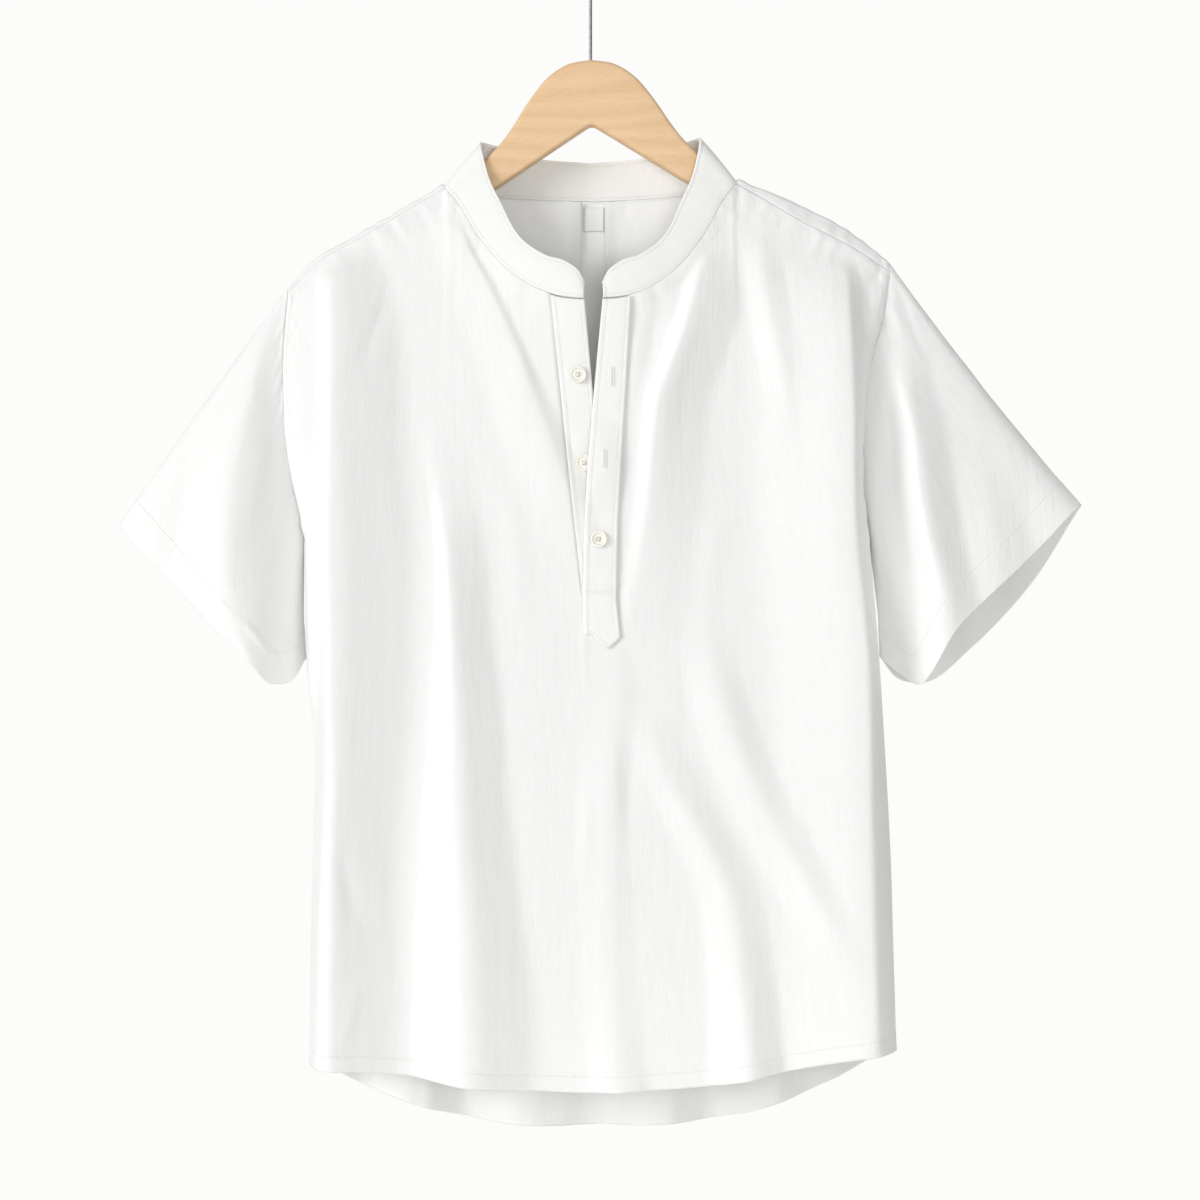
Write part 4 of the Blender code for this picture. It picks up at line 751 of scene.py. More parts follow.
def over_shoulder(seam, line, grid, drop, behind, turn):
    """Rows of the back from its upper edge over the hanger to its first hanging row."""
    landing = grid[0]
    lap = np.clip((line[:, 3] - LAP_FROM) / LAP_REACH, 0.0, 1.0)
    first = [start + more * lap for start, more in zip(FIRST_TURN, LAP_TURN)]
    turns = [first] + list(WRAP_TURN)
    rows = [seam]
    shoulders = len(line)
    last = shoulders - 1
    away = (last - np.arange(shoulders)) * COLUMN_SHARE
    stand = np.clip(1 - away / STAND_FADE, 0, 1) * NECK_STAND
    mix = np.linspace(0, 1, NECK_POINT_COLUMNS + 1)[1:-1, None]
    between = np.s_[shoulders:turn]
    bow = seam[between] - (seam[last] * (1 - mix) + seam[turn] * mix)
    for k, (turn_y, turn_drop) in enumerate(turns):
        part = (k + 1) / (len(turns) + 1)
        row = seam + (landing - seam) * part
        row[:shoulders, 0] = line[:, 0] + np.sign(line[:, 0]) * stand * sin(pi * part)
        row[:shoulders, 1] = turn_y
        row[:shoulders, 2] = line[:, 2] + line[:, 3] - turn_drop
        fall = part**LATE_FALL * (1 - behind) + part * behind
        row[turn:, 2] = seam[turn:, 2] - drop[turn:] * fall[turn:]
        row[between] = row[last] * (1 - mix) + row[turn] * mix + bow * (1 - part)
        rows.append(row)
    rows += [landing, grid[5]]
    knots = np.arange(len(rows), dtype=float)
    knots[-1] = knots[-2] + LAST_STRETCH
    shape = seam.shape
    flat = smooth(knots, np.array(rows).reshape(len(rows), -1), WRAP_MARKS)
    return flat.reshape(len(WRAP_MARKS), *shape)


def sleeve(name, side, front, back):
    """Grid of a sleeve: rings from the armhole seam to the open hem."""
    column = 0 if side < 0 else -1
    last = int(np.searchsorted(ROW_MARKS, ARMHOLE_ROWS - 1e-6))
    wraps = len(WRAP_MARKS)
    front_edge = front[: last + 1, column]
    back_edge = back[: wraps + last, column]
    hole = np.vstack([front_edge, back_edge[1:][::-1]])
    hole[last, 0] += side * UNDERARM_GAP
    down = (ROW_MARKS[: last + 1] / ARMHOLE_ROWS) ** RING_SPREAD
    front_a = CREST_SHARE + (1 - CREST_SHARE) * down
    wrap_a = CREST_SHARE * (1 - np.append(WRAP_MARKS, WRAP_END)[1:] / (WRAP_END / 2))
    back_a = -(CREST_SHARE + (1 - CREST_SHARE) * down[1:last])
    a = np.concatenate([front_a, np.concatenate([wrap_a, back_a])[::-1]])
    hems = SLEEVE_HEM[name]
    hem = np.where((a > 0)[:, None], along(hems["front"], np.abs(a)), along(hems["back"], np.abs(a)))
    rings = []
    for s in SLEEVE_STEPS:
        ring = hole + (hem - hole) * s
        arch = 4 * s * (1 - s)
        ring[:, 2] += SLEEVE_TOP_SAG[name] * arch * (1 - np.abs(a)) ** 3
        ring[:, 0] += side * UNDERARM_STAND * arch**0.35 * np.abs(a) ** 6
        swell = SLEEVE_SWELL * arch * np.sin(pi * np.clip(np.abs(a), 0, 1))
        folds = fold_rise(SLEEVE_FOLDS[name], ring[:, 0], ring[:, 2])
        folds *= ease(s * 4) * np.sin(pi * np.abs(a)) ** 0.5
        keep = 1.0 - (1 - HEM_KEEP) * ease((s - HEM_FROM) / HEM_REACH)
        ring[:, 1] += np.sign(-a) * (swell + folds * keep * SLEEVE_KEEP)
        rings.append(ring)
    points = np.array(rings)
    return np.concatenate([points, points[:, :1]], axis=1)


def collar():
    """Grid of the band collar, its lower edge on the necklines of front and back."""
    shares = {}
    for name, side in SIDES:
        edge = neckline_share(side)
        shoulder = collar_share("shoulder")
        falls = (NECK_STEPS[::-1] - NECK_POINT) / (1 - NECK_POINT)
        ends = np.linspace(0, edge, COLLAR_END_COLUMNS + 1)[:-1]
        back_part = neck_shares(side)
        centre = np.linspace(back_part[-1], 1, COLLAR_BACK_COLUMNS + 1)[1:-1]
        parts = [ends, shoulder + (edge - shoulder) * falls, [shoulder], back_part, centre]
        shares[name] = np.concatenate(parts)
    left = collar_curves(-1.0, shares["left"])
    right = collar_curves(1.0, shares["right"])
    centre = collar_curves(1.0, np.array([1.0]))
    seam, top = (np.vstack([left[k], centre[k], right[k][::-1]]) for k in range(2))
    rows = []
    for t in COLLAR_STEPS:
        row = seam + (top - seam) * t
        middle = np.array([COLLAR_FRONT_SHIFT, 0.0, 0.0])
        out = (row - middle) * np.array([1.0, 1.0, 0.0])
        out /= np.linalg.norm(out, axis=1)[:, None]
        rows.append(row + out * COLLAR_BULGE * 4 * t * (1 - t))
    return np.array(rows)[::-1]


def over_lift(x, z):
    """How far the over strip's mid-surface stands off the front's, humped over a button."""
    lift = (CLOTH + PLACKET_CLOTH) / 2 + LAY_GAP + (PLACKET_CLOTH - CLOTH) / 2
    _, button_x, button_z, _ = BUTTONS[1]
    off = np.hypot(x - button_x, z - button_z) / BUTTON_HUMP_REACH
    return lift + BUTTON_HUMP * (1 - ease((off - BUTTON_HUMP_FLAT) / (1 - BUTTON_HUMP_FLAT)))


def strip(left, right, foot, lift, tip=None):
    """A placket strip between two edges, made from the front's points, moved out."""
    table = np.array(PLACKET)[::-1]
    edges = [np.interp(PLACKET[0][0], table[:, 0], table[:, k]) for k in (left, right)]
    share = STRIP_COLUMNS
    neck_x = edges[0] + (edges[1] - edges[0]) * share
    neck_z = np.interp(neck_x, FRONT_EDGE[:, 0], FRONT_EDGE[:, 2]) - NECK_CLEAR
    rows = []
    for t in np.linspace(0, 1, STRIP_ROWS):
        z = neck_z + (foot - neck_z) * t
        start, end = (np.interp(z, table[:, 0], table[:, k]) for k in (left, right))
        rows.append(np.stack([start + (end - start) * share, np.zeros_like(z), z], axis=-1))
    if tip:
        point = rows[-1].copy()
        point[:, 2] = np.minimum(tip[1] + np.abs(point[:, 0] - tip[0]) * TAB_SLOPE, foot - 1.0)
        rows += [rows[-1] + (point - rows[-1]) * t for t in np.linspace(0, 1, TIP_ROWS + 1)[1:]]
    points = np.array(rows)
    points[..., 1] = panel_y(points[..., 0], points[..., 2]) - lift(points[..., 0], points[..., 2])
    return points


def label_panel():
    """A small blank tape that hangs inside the back of the neck."""
    z = np.linspace(LABEL_TOP_Z, LABEL_TOP_Z - LABEL_HEIGHT, LABEL_STEPS)
    share = np.linspace(-1, 1, LABEL_STEPS)
    edges = PLEAT_CENTRE + np.array([-PLEAT_EDGE, PLEAT_EDGE])
    x, z = np.meshgrid(PLEAT_CENTRE + share * LABEL_WIDTH / 2, z)
    lie = panel_y(edges[0], z, back=True) / 2 + panel_y(edges[1], z, back=True) / 2
    clear = CLOTH / 2 + LABEL_GAP + LABEL_CLOTH / 2 - 2 * PLEAT_LAYER
    curl = LABEL_CURL * share[None] ** 2 * ease((LABEL_TOP_Z - z) / LABEL_HEIGHT)
    return np.stack([x, lie - clear - curl, z], axis=-1)


# ---- panels: points, faces and normals ----
CORNERS = ((0, 0), (1, 0), (1, 1), (0, 1))


def face_spans(points):
    """The cross products of the diagonals of a grid's faces."""
    return np.cross(points[1:, 1:] - points[:-1, :-1], points[:-1, 1:] - points[1:, :-1])


def grid_normals(points, faces):
    """The sum of the unit normals of the faces about each of the grid's points."""
    normal = unit(face_spans(points)) * faces[..., None]
    total = np.zeros(points.shape)
    for rows, columns in CORNERS:
        total[rows : rows + len(faces), columns : columns + faces.shape[1]] += normal
    return total


def all_faces(points):
    return np.ones((points.shape[0] - 1, points.shape[1] - 1), bool)


def panel_of(points, faces=None):
    """A grid with its mask of faces, which are all of them by default, and its normals."""
    faces = all_faces(points) if faces is None else faces
    return {"points": points, "faces": faces, "normals": grid_normals(points, faces)}


def unit(vectors):
    return vectors / np.maximum(np.linalg.norm(vectors, axis=-1, keepdims=True), 1e-9)


def orient(panels):
    """Turns each panel's normals away from the body's or the sleeve's middle."""
    for name, panel in panels.items():
        middle = panel["points"].reshape(-1, 3).mean(axis=0)
        if name in ("front", "back"):
            middle = np.array([0.0, 0.0, -550.0])
        if ((panel["points"] - middle) * panel["normals"]).sum() < 0:
            panel["normals"] *= -1


def share_normals(panels):
    """Seam points of neighbouring panels get one normal, so that their rims are parallel."""
    totals = {}
    edges = []
    for panel in panels.values():
        panel["normals"] = unit(panel["normals"])
        border = np.zeros(panel["points"].shape[:2], bool)
        border[[0, -1]] = True
        border[:, [0, -1]] = True
        edges.append(np.argwhere(border))
        for r, c in edges[-1]:
            at = tuple(np.round(panel["points"][r, c], 2))
            totals[at] = totals.get(at, 0) + panel["normals"][r, c]
    for panel, border in zip(panels.values(), edges):
        for r, c in border:
            panel["normals"][r, c] = totals[tuple(np.round(panel["points"][r, c], 2))]
        panel["normals"] = unit(panel["normals"])


@cache
def cut_panels():
    """All the sewn panels of the shirt, by the names of their solids."""
    front, back = panel_of(*front_panel()), panel_of(back_panel())
    panels = {"front": front, "back": back}
    for name, side in SIDES:
        panels["sleeve_" + name] = panel_of(sleeve(name, side, front["points"], back["points"]))
    panels["collar_band"] = panel_of(collar())
    for name, panel in panels.items():
        if name.startswith("sleeve"):
            panel["normals"][:, 0] += panel["normals"][:, -1]
            panel["normals"][:, -1] = panel["normals"][:, 0]
    orient(panels)
    share_normals(panels)
    return panels


@cache
def cut_strips():
    """The placket's under and over strips."""
    strips = {
        "under_placket": panel_of(strip(1, 2, foot_z() + 2.5, lambda x, z: np.zeros_like(x))),
        "over_placket": panel_of(strip(3, 4, TAB_FOOT_Z, over_lift, TAB_POINT)),
    }
    for panel in strips.values():
        if panel["normals"][..., 1].sum() > 0:
            panel["normals"] *= -1
        panel["normals"] = unit(panel["normals"])
    return strips


# ---- seams, hems and creases: relief along the normals ----
SEAM_ALLOWANCE = 8.0
BODY_HEM = 13.0
SLEEVE_HEM_DEPTH = 25.0
# how far a row of stitches draws the cloth in
STITCHED_IN = 0.3
NOISE_CELLS = 64
# how the crinkles lean and come in patches: size across and down, amount
LEAN = (90.0, 140.0, 1.6)
PATCHES = (70.0, 90.0, 0.45)
# where the relief of the back fades, beside the neck points: x, z
NECK_POINTS = ((-109.5, -199.0), (109.5, -199.0))
NECK_POINT_REACH = 12.0
EDGE_STITCH = 2.6
PLACKET_STITCH = 3.6
BOX_STITCH_Z = -509.0
BUTTONHOLES = ((17.2, -346.0), (11.4, -408.5))
BUTTONHOLE_HALF = 7.0
# across mm, along mm, height mm, seed
CRINKLES = ((26.0, 120.0, 0.5, 3), (11.0, 60.0, 0.2, 5), (6.5, 30.0, 0.08, 8))
# gathers along a seam: pitch, reach, height, seed
GATHERS = {
    "armhole": (7, 16, 0.9, 11), "hem": (15, 26, 0.5, 12), "front neck": (6, 22, 1.1, 13),
    "back neck": (7, 20, 0.7, 14), "sleeve": (8, 20, 0.9, 17),
}
# small creases on the front: x, z to x, z, half width, height
FRONT_CREASES = (
    (-5.2, -516, -4, -588, 1.6, 0.5), (-176, -806, -190, -860, 5, 1), (-192, -700, -176, -770, 6, -0.9),
    (-150, -270, -176, -340, 6, -1), (40, -296, 30, -372, 4, 0.9), (52, -286, 44, -345, 3.5, -0.9),
    (64, -280, 58, -330, 3.5, 0.8), (150, -300, 164, -420, 6, -0.8), (100, -420, 84, -560, 9, 0.8),
    (20, -590, 34, -690, 7, -0.8), (0, -640, -8, -760, 6, 0.7), (-60, -420, -52, -560, 8, 0.7),
    (-232, -294, -214, -338, 1.8, 0.9), (-221, -296, -233, -324, 1.6, -0.8),
    (-222, -308, -236, -336, 1.6, 0.6), (203, -262, 208, -296, 2, 0.8),
    (212, -266, 215, -302, 2.2, -0.8),
)
SLEEVE_CREASES = {
    "left": (
        (-266, -528, -238, -566, 3, 2.2), (-250, -520, -226, -556, 3.4, -2),
        (-280, -538, -257, -570, 3.2, -1.8), (-240, -532, -224, -568, 2.6, 1.8),
    ),
    "right": (
        (228, -268, 240, -318, 3, 0.9), (236, -272, 256, -330, 3, -0.8),
        (244, -556, 268, -572, 3, -0.8),
    ),
}


def noise(u, v, seed):
    """Smooth lattice noise between -1 and 1."""
    grid = np.random.default_rng(seed).uniform(-1, 1, (NOISE_CELLS, NOISE_CELLS))
    i, j = np.floor(u).astype(int), np.floor(v).astype(int)
    s, t = ease(u - i), ease(v - j)
    i0, i1, j0, j1 = i % NOISE_CELLS, (i + 1) % NOISE_CELLS, j % NOISE_CELLS, (j + 1) % NOISE_CELLS
    near = grid[i0, j0] * (1 - t) + grid[i0, j1] * t
    far = grid[i1, j0] * (1 - t) + grid[i1, j1] * t
    return near * (1 - s) + far * s


def hump(distance, at, width):
    """A smooth hump of height 1 at a distance from an edge."""
    return np.exp(-(((distance - at) / width) ** 2))


def crinkle(points):
    """The soft crumple of linen, drawn out down the cloth, the same on both sides of a seam."""
    x, y, z = np.moveaxis(points, -1, 0)
    total = np.zeros(x.shape)
    for across, down, height, seed in CRINKLES:
        lean = noise(x / LEAN[0], z / LEAN[1], seed + 1) * LEAN[2]
        patchy = 1 - PATCHES[2] + PATCHES[2] * noise(x / PATCHES[0], z / PATCHES[1], seed + 2)
        total = total + height * patchy * noise((x + 1.6 * y) / across + lean, z / down, seed)
    return total


def creases(rows, points):
    """Short soft ridges and troughs between pairs of places."""
    x, z = points[..., 0], points[..., 2]
    total = np.zeros(x.shape)
    for x0, z0, x1, z1, width, height in rows:
        length = np.hypot(x1 - x0, z1 - z0)
        share = ((x - x0) * (x1 - x0) + (z - z0) * (z1 - z0)) / length**2
        off = ((x - x0) * (z1 - z0) - (z - z0) * (x1 - x0)) / length
        total = total + height * hump(off, 0.0, width) * ease(share * 3) * ease((1 - share) * 3)
    return total


def edge_runs(points):
    """Arc lengths from each of a grid's four edges, along its columns and rows."""
    top, left = np.zeros((2,) + points.shape[:2])
    top[1:] = np.linalg.norm(np.diff(points, axis=0), axis=-1).cumsum(axis=0)
    left[:, 1:] = np.linalg.norm(np.diff(points, axis=1), axis=-1).cumsum(axis=1)
    return {"top": top, "foot": top[-1] - top, "left": left, "right": left[:, -1:] - left}


def line_at(at, run, line):
    """Points of a line at the given arc lengths."""
    return np.stack([np.interp(at, run, line[:, k]) for k in range(3)], axis=1)


def seam_space(points, line):
    """Distance of every point from a seam, and the run along the seam to its nearest place."""
    run = run_of(line)
    dense = line_at(np.arange(0.0, run[-1], 1.0), run, line)
    tree = kdtree.KDTree(len(dense))
    for k, place in enumerate(dense):
        tree.insert(place, k)
    tree.balance()
    near = [tree.find(point)[1:] for point in points.reshape(-1, 3)]
    found = np.array(near).reshape(points.shape[:2] + (2,))
    return found[..., 1], found[..., 0]


def seam_relief(distance, allowance=SEAM_ALLOWANCE, groove=0.35):
    """A seam's groove, and the double cloth beside it."""
    return 0.4 * (1 - ease((distance - allowance + 1.5) / 3)) - groove * hump(distance, 0.0, 1.2)


def hem_relief(distance, depth):
    """A turned hem: double cloth up to its row of stitches."""
    return 0.45 * (1 - ease((distance - depth) / 2)) - 0.35 * hump(distance, depth - 1.0, 1.3)


def gathers(distance, run, seam):
    """Small gathers that run out of a seam."""
    pitch, reach, height, seed = GATHERS[seam]
    fade = np.exp(-((distance / reach) ** 2)) * inside(distance, 2.0)
    return height * fade * noise(run / pitch, distance / (2 * reach), seed)


def inside(distance, reach=6.0):
    """0 on an edge, rising to 1 away from it."""
    return 1 - np.exp(-((distance / reach) ** 2))


def body_relief(name, points):
    """Relief of the front or the back."""
    runs = edge_runs(points)
    top, along_top = seam_space(points, points[0])
    foot, along_foot = runs["foot"], runs["left"][-1:]
    beside = np.minimum(runs["left"], runs["right"])
    down = np.where(runs["left"] < runs["right"], runs["top"][:, :1], runs["top"][:, -1:])
    inner = inside(np.minimum(beside, top))
    underarm = SIDE["left"][0][1]
    hole = ease((points[..., 2] - underarm) / 10.0)
    total = crinkle(points) * inner
    total += seam_relief(beside, groove=0.5 * (1 - hole)) + hem_relief(foot, BODY_HEM)
    total += 0.35 * hole * hump(beside, 3.2, 1.6)
    total += gathers(beside, down, "armhole") * (points[..., 2] > underarm)
    total += gathers(foot, along_foot, "hem")
    if name == "front":
        total += seam_relief(top) + gathers(top, along_top, "front neck")
        total += creases(FRONT_CREASES, points) * inner
    else:
        flat = ease((np.abs(points[..., 0] - PLEAT_CENTRE) - PLEAT_OUTER) / 8.0)
        total += (seam_relief(top) + gathers(top, along_top, "back neck")) * flat
        for x, z in NECK_POINTS:
            off = np.hypot(points[..., 0] - x, points[..., 2] - z)
            total *= 0.1 + 0.9 * ease((off - 5.0) / NECK_POINT_REACH)
    return total * (1 - hole * (1 - ease((beside - 0.8) / 4.5)))


def sleeve_relief(name, points):
    """Relief of a sleeve."""
    runs = edge_runs(points)
    inner = inside(runs["top"])
    total = crinkle(points) * inner
    around = runs["left"][:1]
    closing = ease(np.minimum(around, around[:, -1:] - around) / 20.0)
    total += hem_relief(runs["foot"], SLEEVE_HEM_DEPTH)
    total *= 0.2 + 0.8 * closing
    total += seam_relief(runs["top"], 3.0, groove=0.0)
    total += gathers(runs["top"], around, "sleeve") * closing
    total += creases(SLEEVE_CREASES[name], points) * inner * ease(-points[..., 1] / 8.0)
    return total * ease((runs["top"] - 0.5) / 3.0)


def collar_relief(points):
    """Relief of the collar band: an edge-stitched rim above, and a stitched seam below."""
    runs = edge_runs(points)
    ends = np.minimum(runs["left"], runs["right"])
    stitched = sum(hump(run, EDGE_STITCH, 0.9) for run in (runs["top"], runs["foot"], ends))
    rim = 0.25 * hump(runs["top"], 0.0, 1.6)
    seam = 0.2 * hump(runs["foot"], 1.2, 1.4) - 0.5 * hump(runs["foot"], 0.0, 0.9)
    return rim + seam - STITCHED_IN * stitched + 0.22 * crinkle(points)


def strip_relief(name, points):
    """Relief of a placket strip: stitched edges, and the tab's stitched box."""
    runs = edge_runs(points)
    total = 0.3 * crinkle(points)
    for edge in ("left", "right"):
        total -= STITCHED_IN * hump(runs[edge], PLACKET_STITCH, 1.0)
        total += 0.15 * hump(runs[edge], 0.0, 1.4)
    if name == "over_placket":
        total -= 0.5 * hump(points[..., 2], BOX_STITCH_Z, 1.2)
        for x, z in BUTTONHOLES:
            off = np.abs(points[..., 0] - x)
            up = np.abs(points[..., 2] - z)
            total += 0.2 * hump(off, 0.0, 1.6) * (1 - ease((up - BUTTONHOLE_HALF) / 1.5))
    return total


@cache
def dressed():
    """Every panel with its relief, by the names of the solids."""
    panels = dict(cut_panels()) | cut_strips()
    for name, panel in panels.items():
        points = panel["points"]
        if name in ("front", "back"):
            relief = body_relief(name, points)
        elif name.startswith("sleeve"):
            relief = sleeve_relief(name.replace("sleeve_", ""), points)
        elif name == "collar_band":
            relief = collar_relief(points)
        else:
            relief = strip_relief(name, points)
        panels[name] = dict(panel, points=points + panel["normals"] * relief[..., None])
    return panels


# ---- stitches ----
STITCH_PITCH = 3.1
STITCH_LENGTH = 2.3
STITCH_RADIUS = 0.24
STITCH_SIDES = 5
HEM_STITCH = 1.0
ARMHOLE_STITCH = 6.5
# bars of a buttonhole: distance from the slit, pitch, height over the cloth
BAR_OUT = 0.9
BAR_PITCH = 0.55
BAR_LIFT = 0.12
BAR_LENGTH = 1.5
BAR_RADIUS = 0.22
# along the stitch, radius, height over the cloth
STITCH_RINGS = ((-0.5, 0.0, -0.25), (-0.32, 1.0, 0.08), (0.32, 1.0, 0.08), (0.5, 0.0, -0.25))


def inset(panel, edge, distance, keep=np.s_[:]):
    """The line at a distance from one edge of a panel, and the normals along it."""
    both = []
    for grid in (panel["points"], panel["normals"]):
        grid = grid.swapaxes(0, 1) if edge in ("left", "right") else grid
        both.append(grid[::-1] if edge in ("foot", "right") else grid)
    points, normals = (grid[:, keep] for grid in both)
    run = edge_runs(points)["top"]
    line = [
        [np.interp(distance, run[:, k], grid[:, k, axis]) for axis in range(3)]
        for k in range(points.shape[1])
        for grid in (points, normals)
    ]
    return np.array(line[::2]), unit(np.array(line[1::2]))


def even_places(line, normals, pitch):
    """Points, directions and normals at an even pitch along a line."""
    run = run_of(line)
    at = np.arange(pitch / 2, run[-1], pitch)
    ahead = line_at(at + 0.5, run, line) - line_at(at - 0.5, run, line)
    return line_at(at, run, line), unit(ahead), unit(line_at(at, run, normals))


def stitch_shapes(spots, directions, outs, length, radius):
    """Vertices and faces of stitches at the given places."""
    across = unit(np.cross(outs, directions))
    verts = []
    for along_, size, height in STITCH_RINGS:
        centre = spots + directions * along_ * length + outs * height
        turns = range(STITCH_SIDES) if size else (0,)
        for k in turns:
            turn = tau * k / STITCH_SIDES
            verts.append(centre + (across * cos(turn) + outs * sin(turn)) * radius * size)
    verts = np.stack(verts, axis=1)
    n = STITCH_SIDES
    faces = []
    for k in range(n):
        after = (k + 1) % n
        faces.append((0, 1 + after, 1 + k))
        faces.append((1 + k, 1 + after, 1 + n + after, 1 + n + k))
        faces.append((1 + n + k, 1 + n + after, 1 + 2 * n))
    return verts.reshape(-1, 3), faces, verts.shape[1]


def stitch_mesh(name, groups):
    """One mesh of all the given groups of stitches."""
    verts, faces, start = [], [], 0
    for group in groups:
        points, shape, count = stitch_shapes(*group)
        for first in range(start, start + len(points), count):
            faces += [tuple(first + corner for corner in face) for face in shape]
        verts.append(points)
        start += len(points)
    item = add_mesh(name, np.vstack(verts), faces)
    item.data.shade_smooth()
    return item


def seam_stitches():
    """The rows of stitches along seams, hems, collar and placket."""
    sizes = bpy.context.scene.shirt_cloth
    thicknesses = (sizes.thickness, sizes.collar_thickness, sizes.placket_thickness)
    cloth, band, fold = (size / MM / 2 for size in thicknesses)
    panels = dressed()
    hole = int(np.searchsorted(ROW_MARKS, ARMHOLE_ROWS - 1e-6))
    wraps = len(WRAP_MARKS)
    sides = ("left", "right")
    lines = []

    def row(name, edge, distance, lift, keep=np.s_[:]):
        lines.append((inset(panels[name], edge, distance, keep), lift))

    for name in ("front", "back"):
        row(name, "foot", BODY_HEM - HEM_STITCH, cloth)
    for edge in sides:
        row("front", edge, ARMHOLE_STITCH, cloth, np.s_[3:hole])
        row("back", edge, ARMHOLE_STITCH, cloth, np.s_[wraps : wraps + hole])
    for name in sides:
        row("sleeve_" + name, "foot", SLEEVE_HEM_DEPTH - HEM_STITCH, cloth)
    for edge in ("top", "foot"):
        row("collar_band", edge, EDGE_STITCH, band)
        row("collar_band", edge, EDGE_STITCH, -band)
    for edge in sides:
        row("collar_band", edge, EDGE_STITCH, band, np.s_[3:-3])
    for name in cut_strips():
        for edge in sides:
            row(name, edge, PLACKET_STITCH, fold)
    over = panels["over_placket"]
    box = int(np.argmin(np.abs(over["points"][:, 0, 2] - BOX_STITCH_Z)))
    for k in (box, box + 1):
        lines.append(((over["points"][k, 1:-1], over["normals"][k, 1:-1]), fold))
    row("over_placket", "foot", EDGE_STITCH, fold, np.s_[2:-2])
    groups = []
    for (line, normals), lift in lines:
        spots, directions, outs = even_places(line, normals * np.sign(lift), STITCH_PITCH)
        spots = spots + outs * abs(lift)
        groups.append((spots, directions, outs, STITCH_LENGTH, STITCH_RADIUS))
    return groups


def buttonhole_stitches():
    """Two rows of close cross stitches either side of each buttonhole's slit."""
    fold = bpy.context.scene.shirt_cloth.placket_thickness / MM / 2
    groups = []
    for x, z in BUTTONHOLES:
        heights = np.arange(z - BUTTONHOLE_HALF, z + BUTTONHOLE_HALF, BAR_PITCH)
        for _, side in SIDES:
            at = np.full(heights.shape, x + side * BAR_OUT)
            y = panel_y(at, heights) - over_lift(at, heights)
            outs = np.array([outward(a, b) for a, b in zip(at, heights)])
            spots = np.stack([at, y, heights], axis=1) + outs * (fold + BAR_LIFT)
            across = unit(np.cross(outs, (0.0, 0.0, 1.0)))
            groups.append((spots, across, outs, BAR_LENGTH, BAR_RADIUS))
    return groups


def outward(x, z):
    """Unit vector out of the front at x, z."""
    slope_x = (panel_y(x + 1, z) - panel_y(x - 1, z)) / 2
    slope_z = (panel_y(x, z + 1) - panel_y(x, z - 1)) / 2
    return Vector((float(slope_x), -1.0, float(slope_z))).normalized()


# ---- from panels to cloth ----


def cloth_mesh(name, panel, thickness):
    """A sewn panel as a thin shell with its own UV map, in metres along warp and weft."""
    points, faces = panel["points"], panel["faces"]
    used = np.zeros(points.shape[:2], bool)
    for r, c in CORNERS:
        used[r : r + faces.shape[0], c : c + faces.shape[1]] |= faces
    closed = "sleeve" in name
    if closed:
        used[:, -1] = False
    numbers = used.cumsum().reshape(used.shape) - 1
    if closed:
        numbers[:, -1] = numbers[:, 0]
    r, c = np.nonzero(faces)
    corners = [(r + down, c + right) for down, right in CORNERS]
    first = [points[rows[0], columns[0]] for rows, columns in corners]
    outward_ = panel["normals"][r[0], c[0]]
    if np.dot(np.cross(first[1] - first[0], first[3] - first[0]), outward_) < 0:
        corners = corners[::-1]
    quads = np.stack([numbers[corner] for corner in corners], axis=1)
    item = add_mesh(name, points[used], quads.tolist())
    runs = edge_runs(points)
    across = runs["left"] - runs["left"][:, points.shape[1] // 2][:, None]
    weave = np.stack([across, runs["top"]], axis=-1)
    uv = np.stack([weave[corner] for corner in corners], axis=1).reshape(-1, 2) * MM
    item.data.uv_layers.new(name="cloth").data.foreach_set("uv", uv.ravel())
    shell = item.modifiers.new("thickness", "SOLIDIFY")
    shell.thickness = thickness * MM
    shell.offset = 0.0
    apply_modifiers(item)
    item.data.shade_smooth()
    return item


def add_object(name, data):
    """Links a new object to the scene."""
    item = bpy.data.objects.new(name, data)
    bpy.context.scene.collection.objects.link(item)
    return item


def add_mesh(name, verts, faces):
    """A new mesh object from points in millimetres and faces."""
    data = bpy.data.meshes.new(name)
    data.from_pydata((np.asarray(verts) * MM).tolist(), [], faces)
    return add_object(name, data)


def choose(item):
    """Makes an object the only one selected, and the active one."""
    bpy.ops.object.select_all(action="DESELECT")
    item.select_set(True)
    bpy.context.view_layer.objects.active = item


def apply_modifiers(item):
    """Applies an object's modifiers in order."""
    choose(item)
    for modifier in list(item.modifiers):
        bpy.ops.object.modifier_apply(modifier=modifier.name)


def sew(name, panel, thickness, node, slot="cloth"):
    item = cloth_mesh(name, panel, thickness)
    item.data.materials.append(linen() if slot == "cloth" else tape())
    points = panel["points"]
    width, length = (float(edge_runs(points)[edge].max()) * MM for edge in ("left", "top"))
    area = np.linalg.norm(face_spans(points), axis=-1) / 2 * panel["faces"]
    area = min(float(area.sum()) * MM * MM, width * length)
    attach(item, "root")
    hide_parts(node)
    return item


# ---- buttons, hanger and hook ----
BUTTON_SIDES = 48
BUTTON_SLOPE = 0.9
BUTTON_SOFT = 0.32
THREAD_STRANDS = (-0.32, 0.0, 0.32)
THREAD_RADIUS = 0.24
BOARD_FINE = 90
WIRE_SIDES = 12


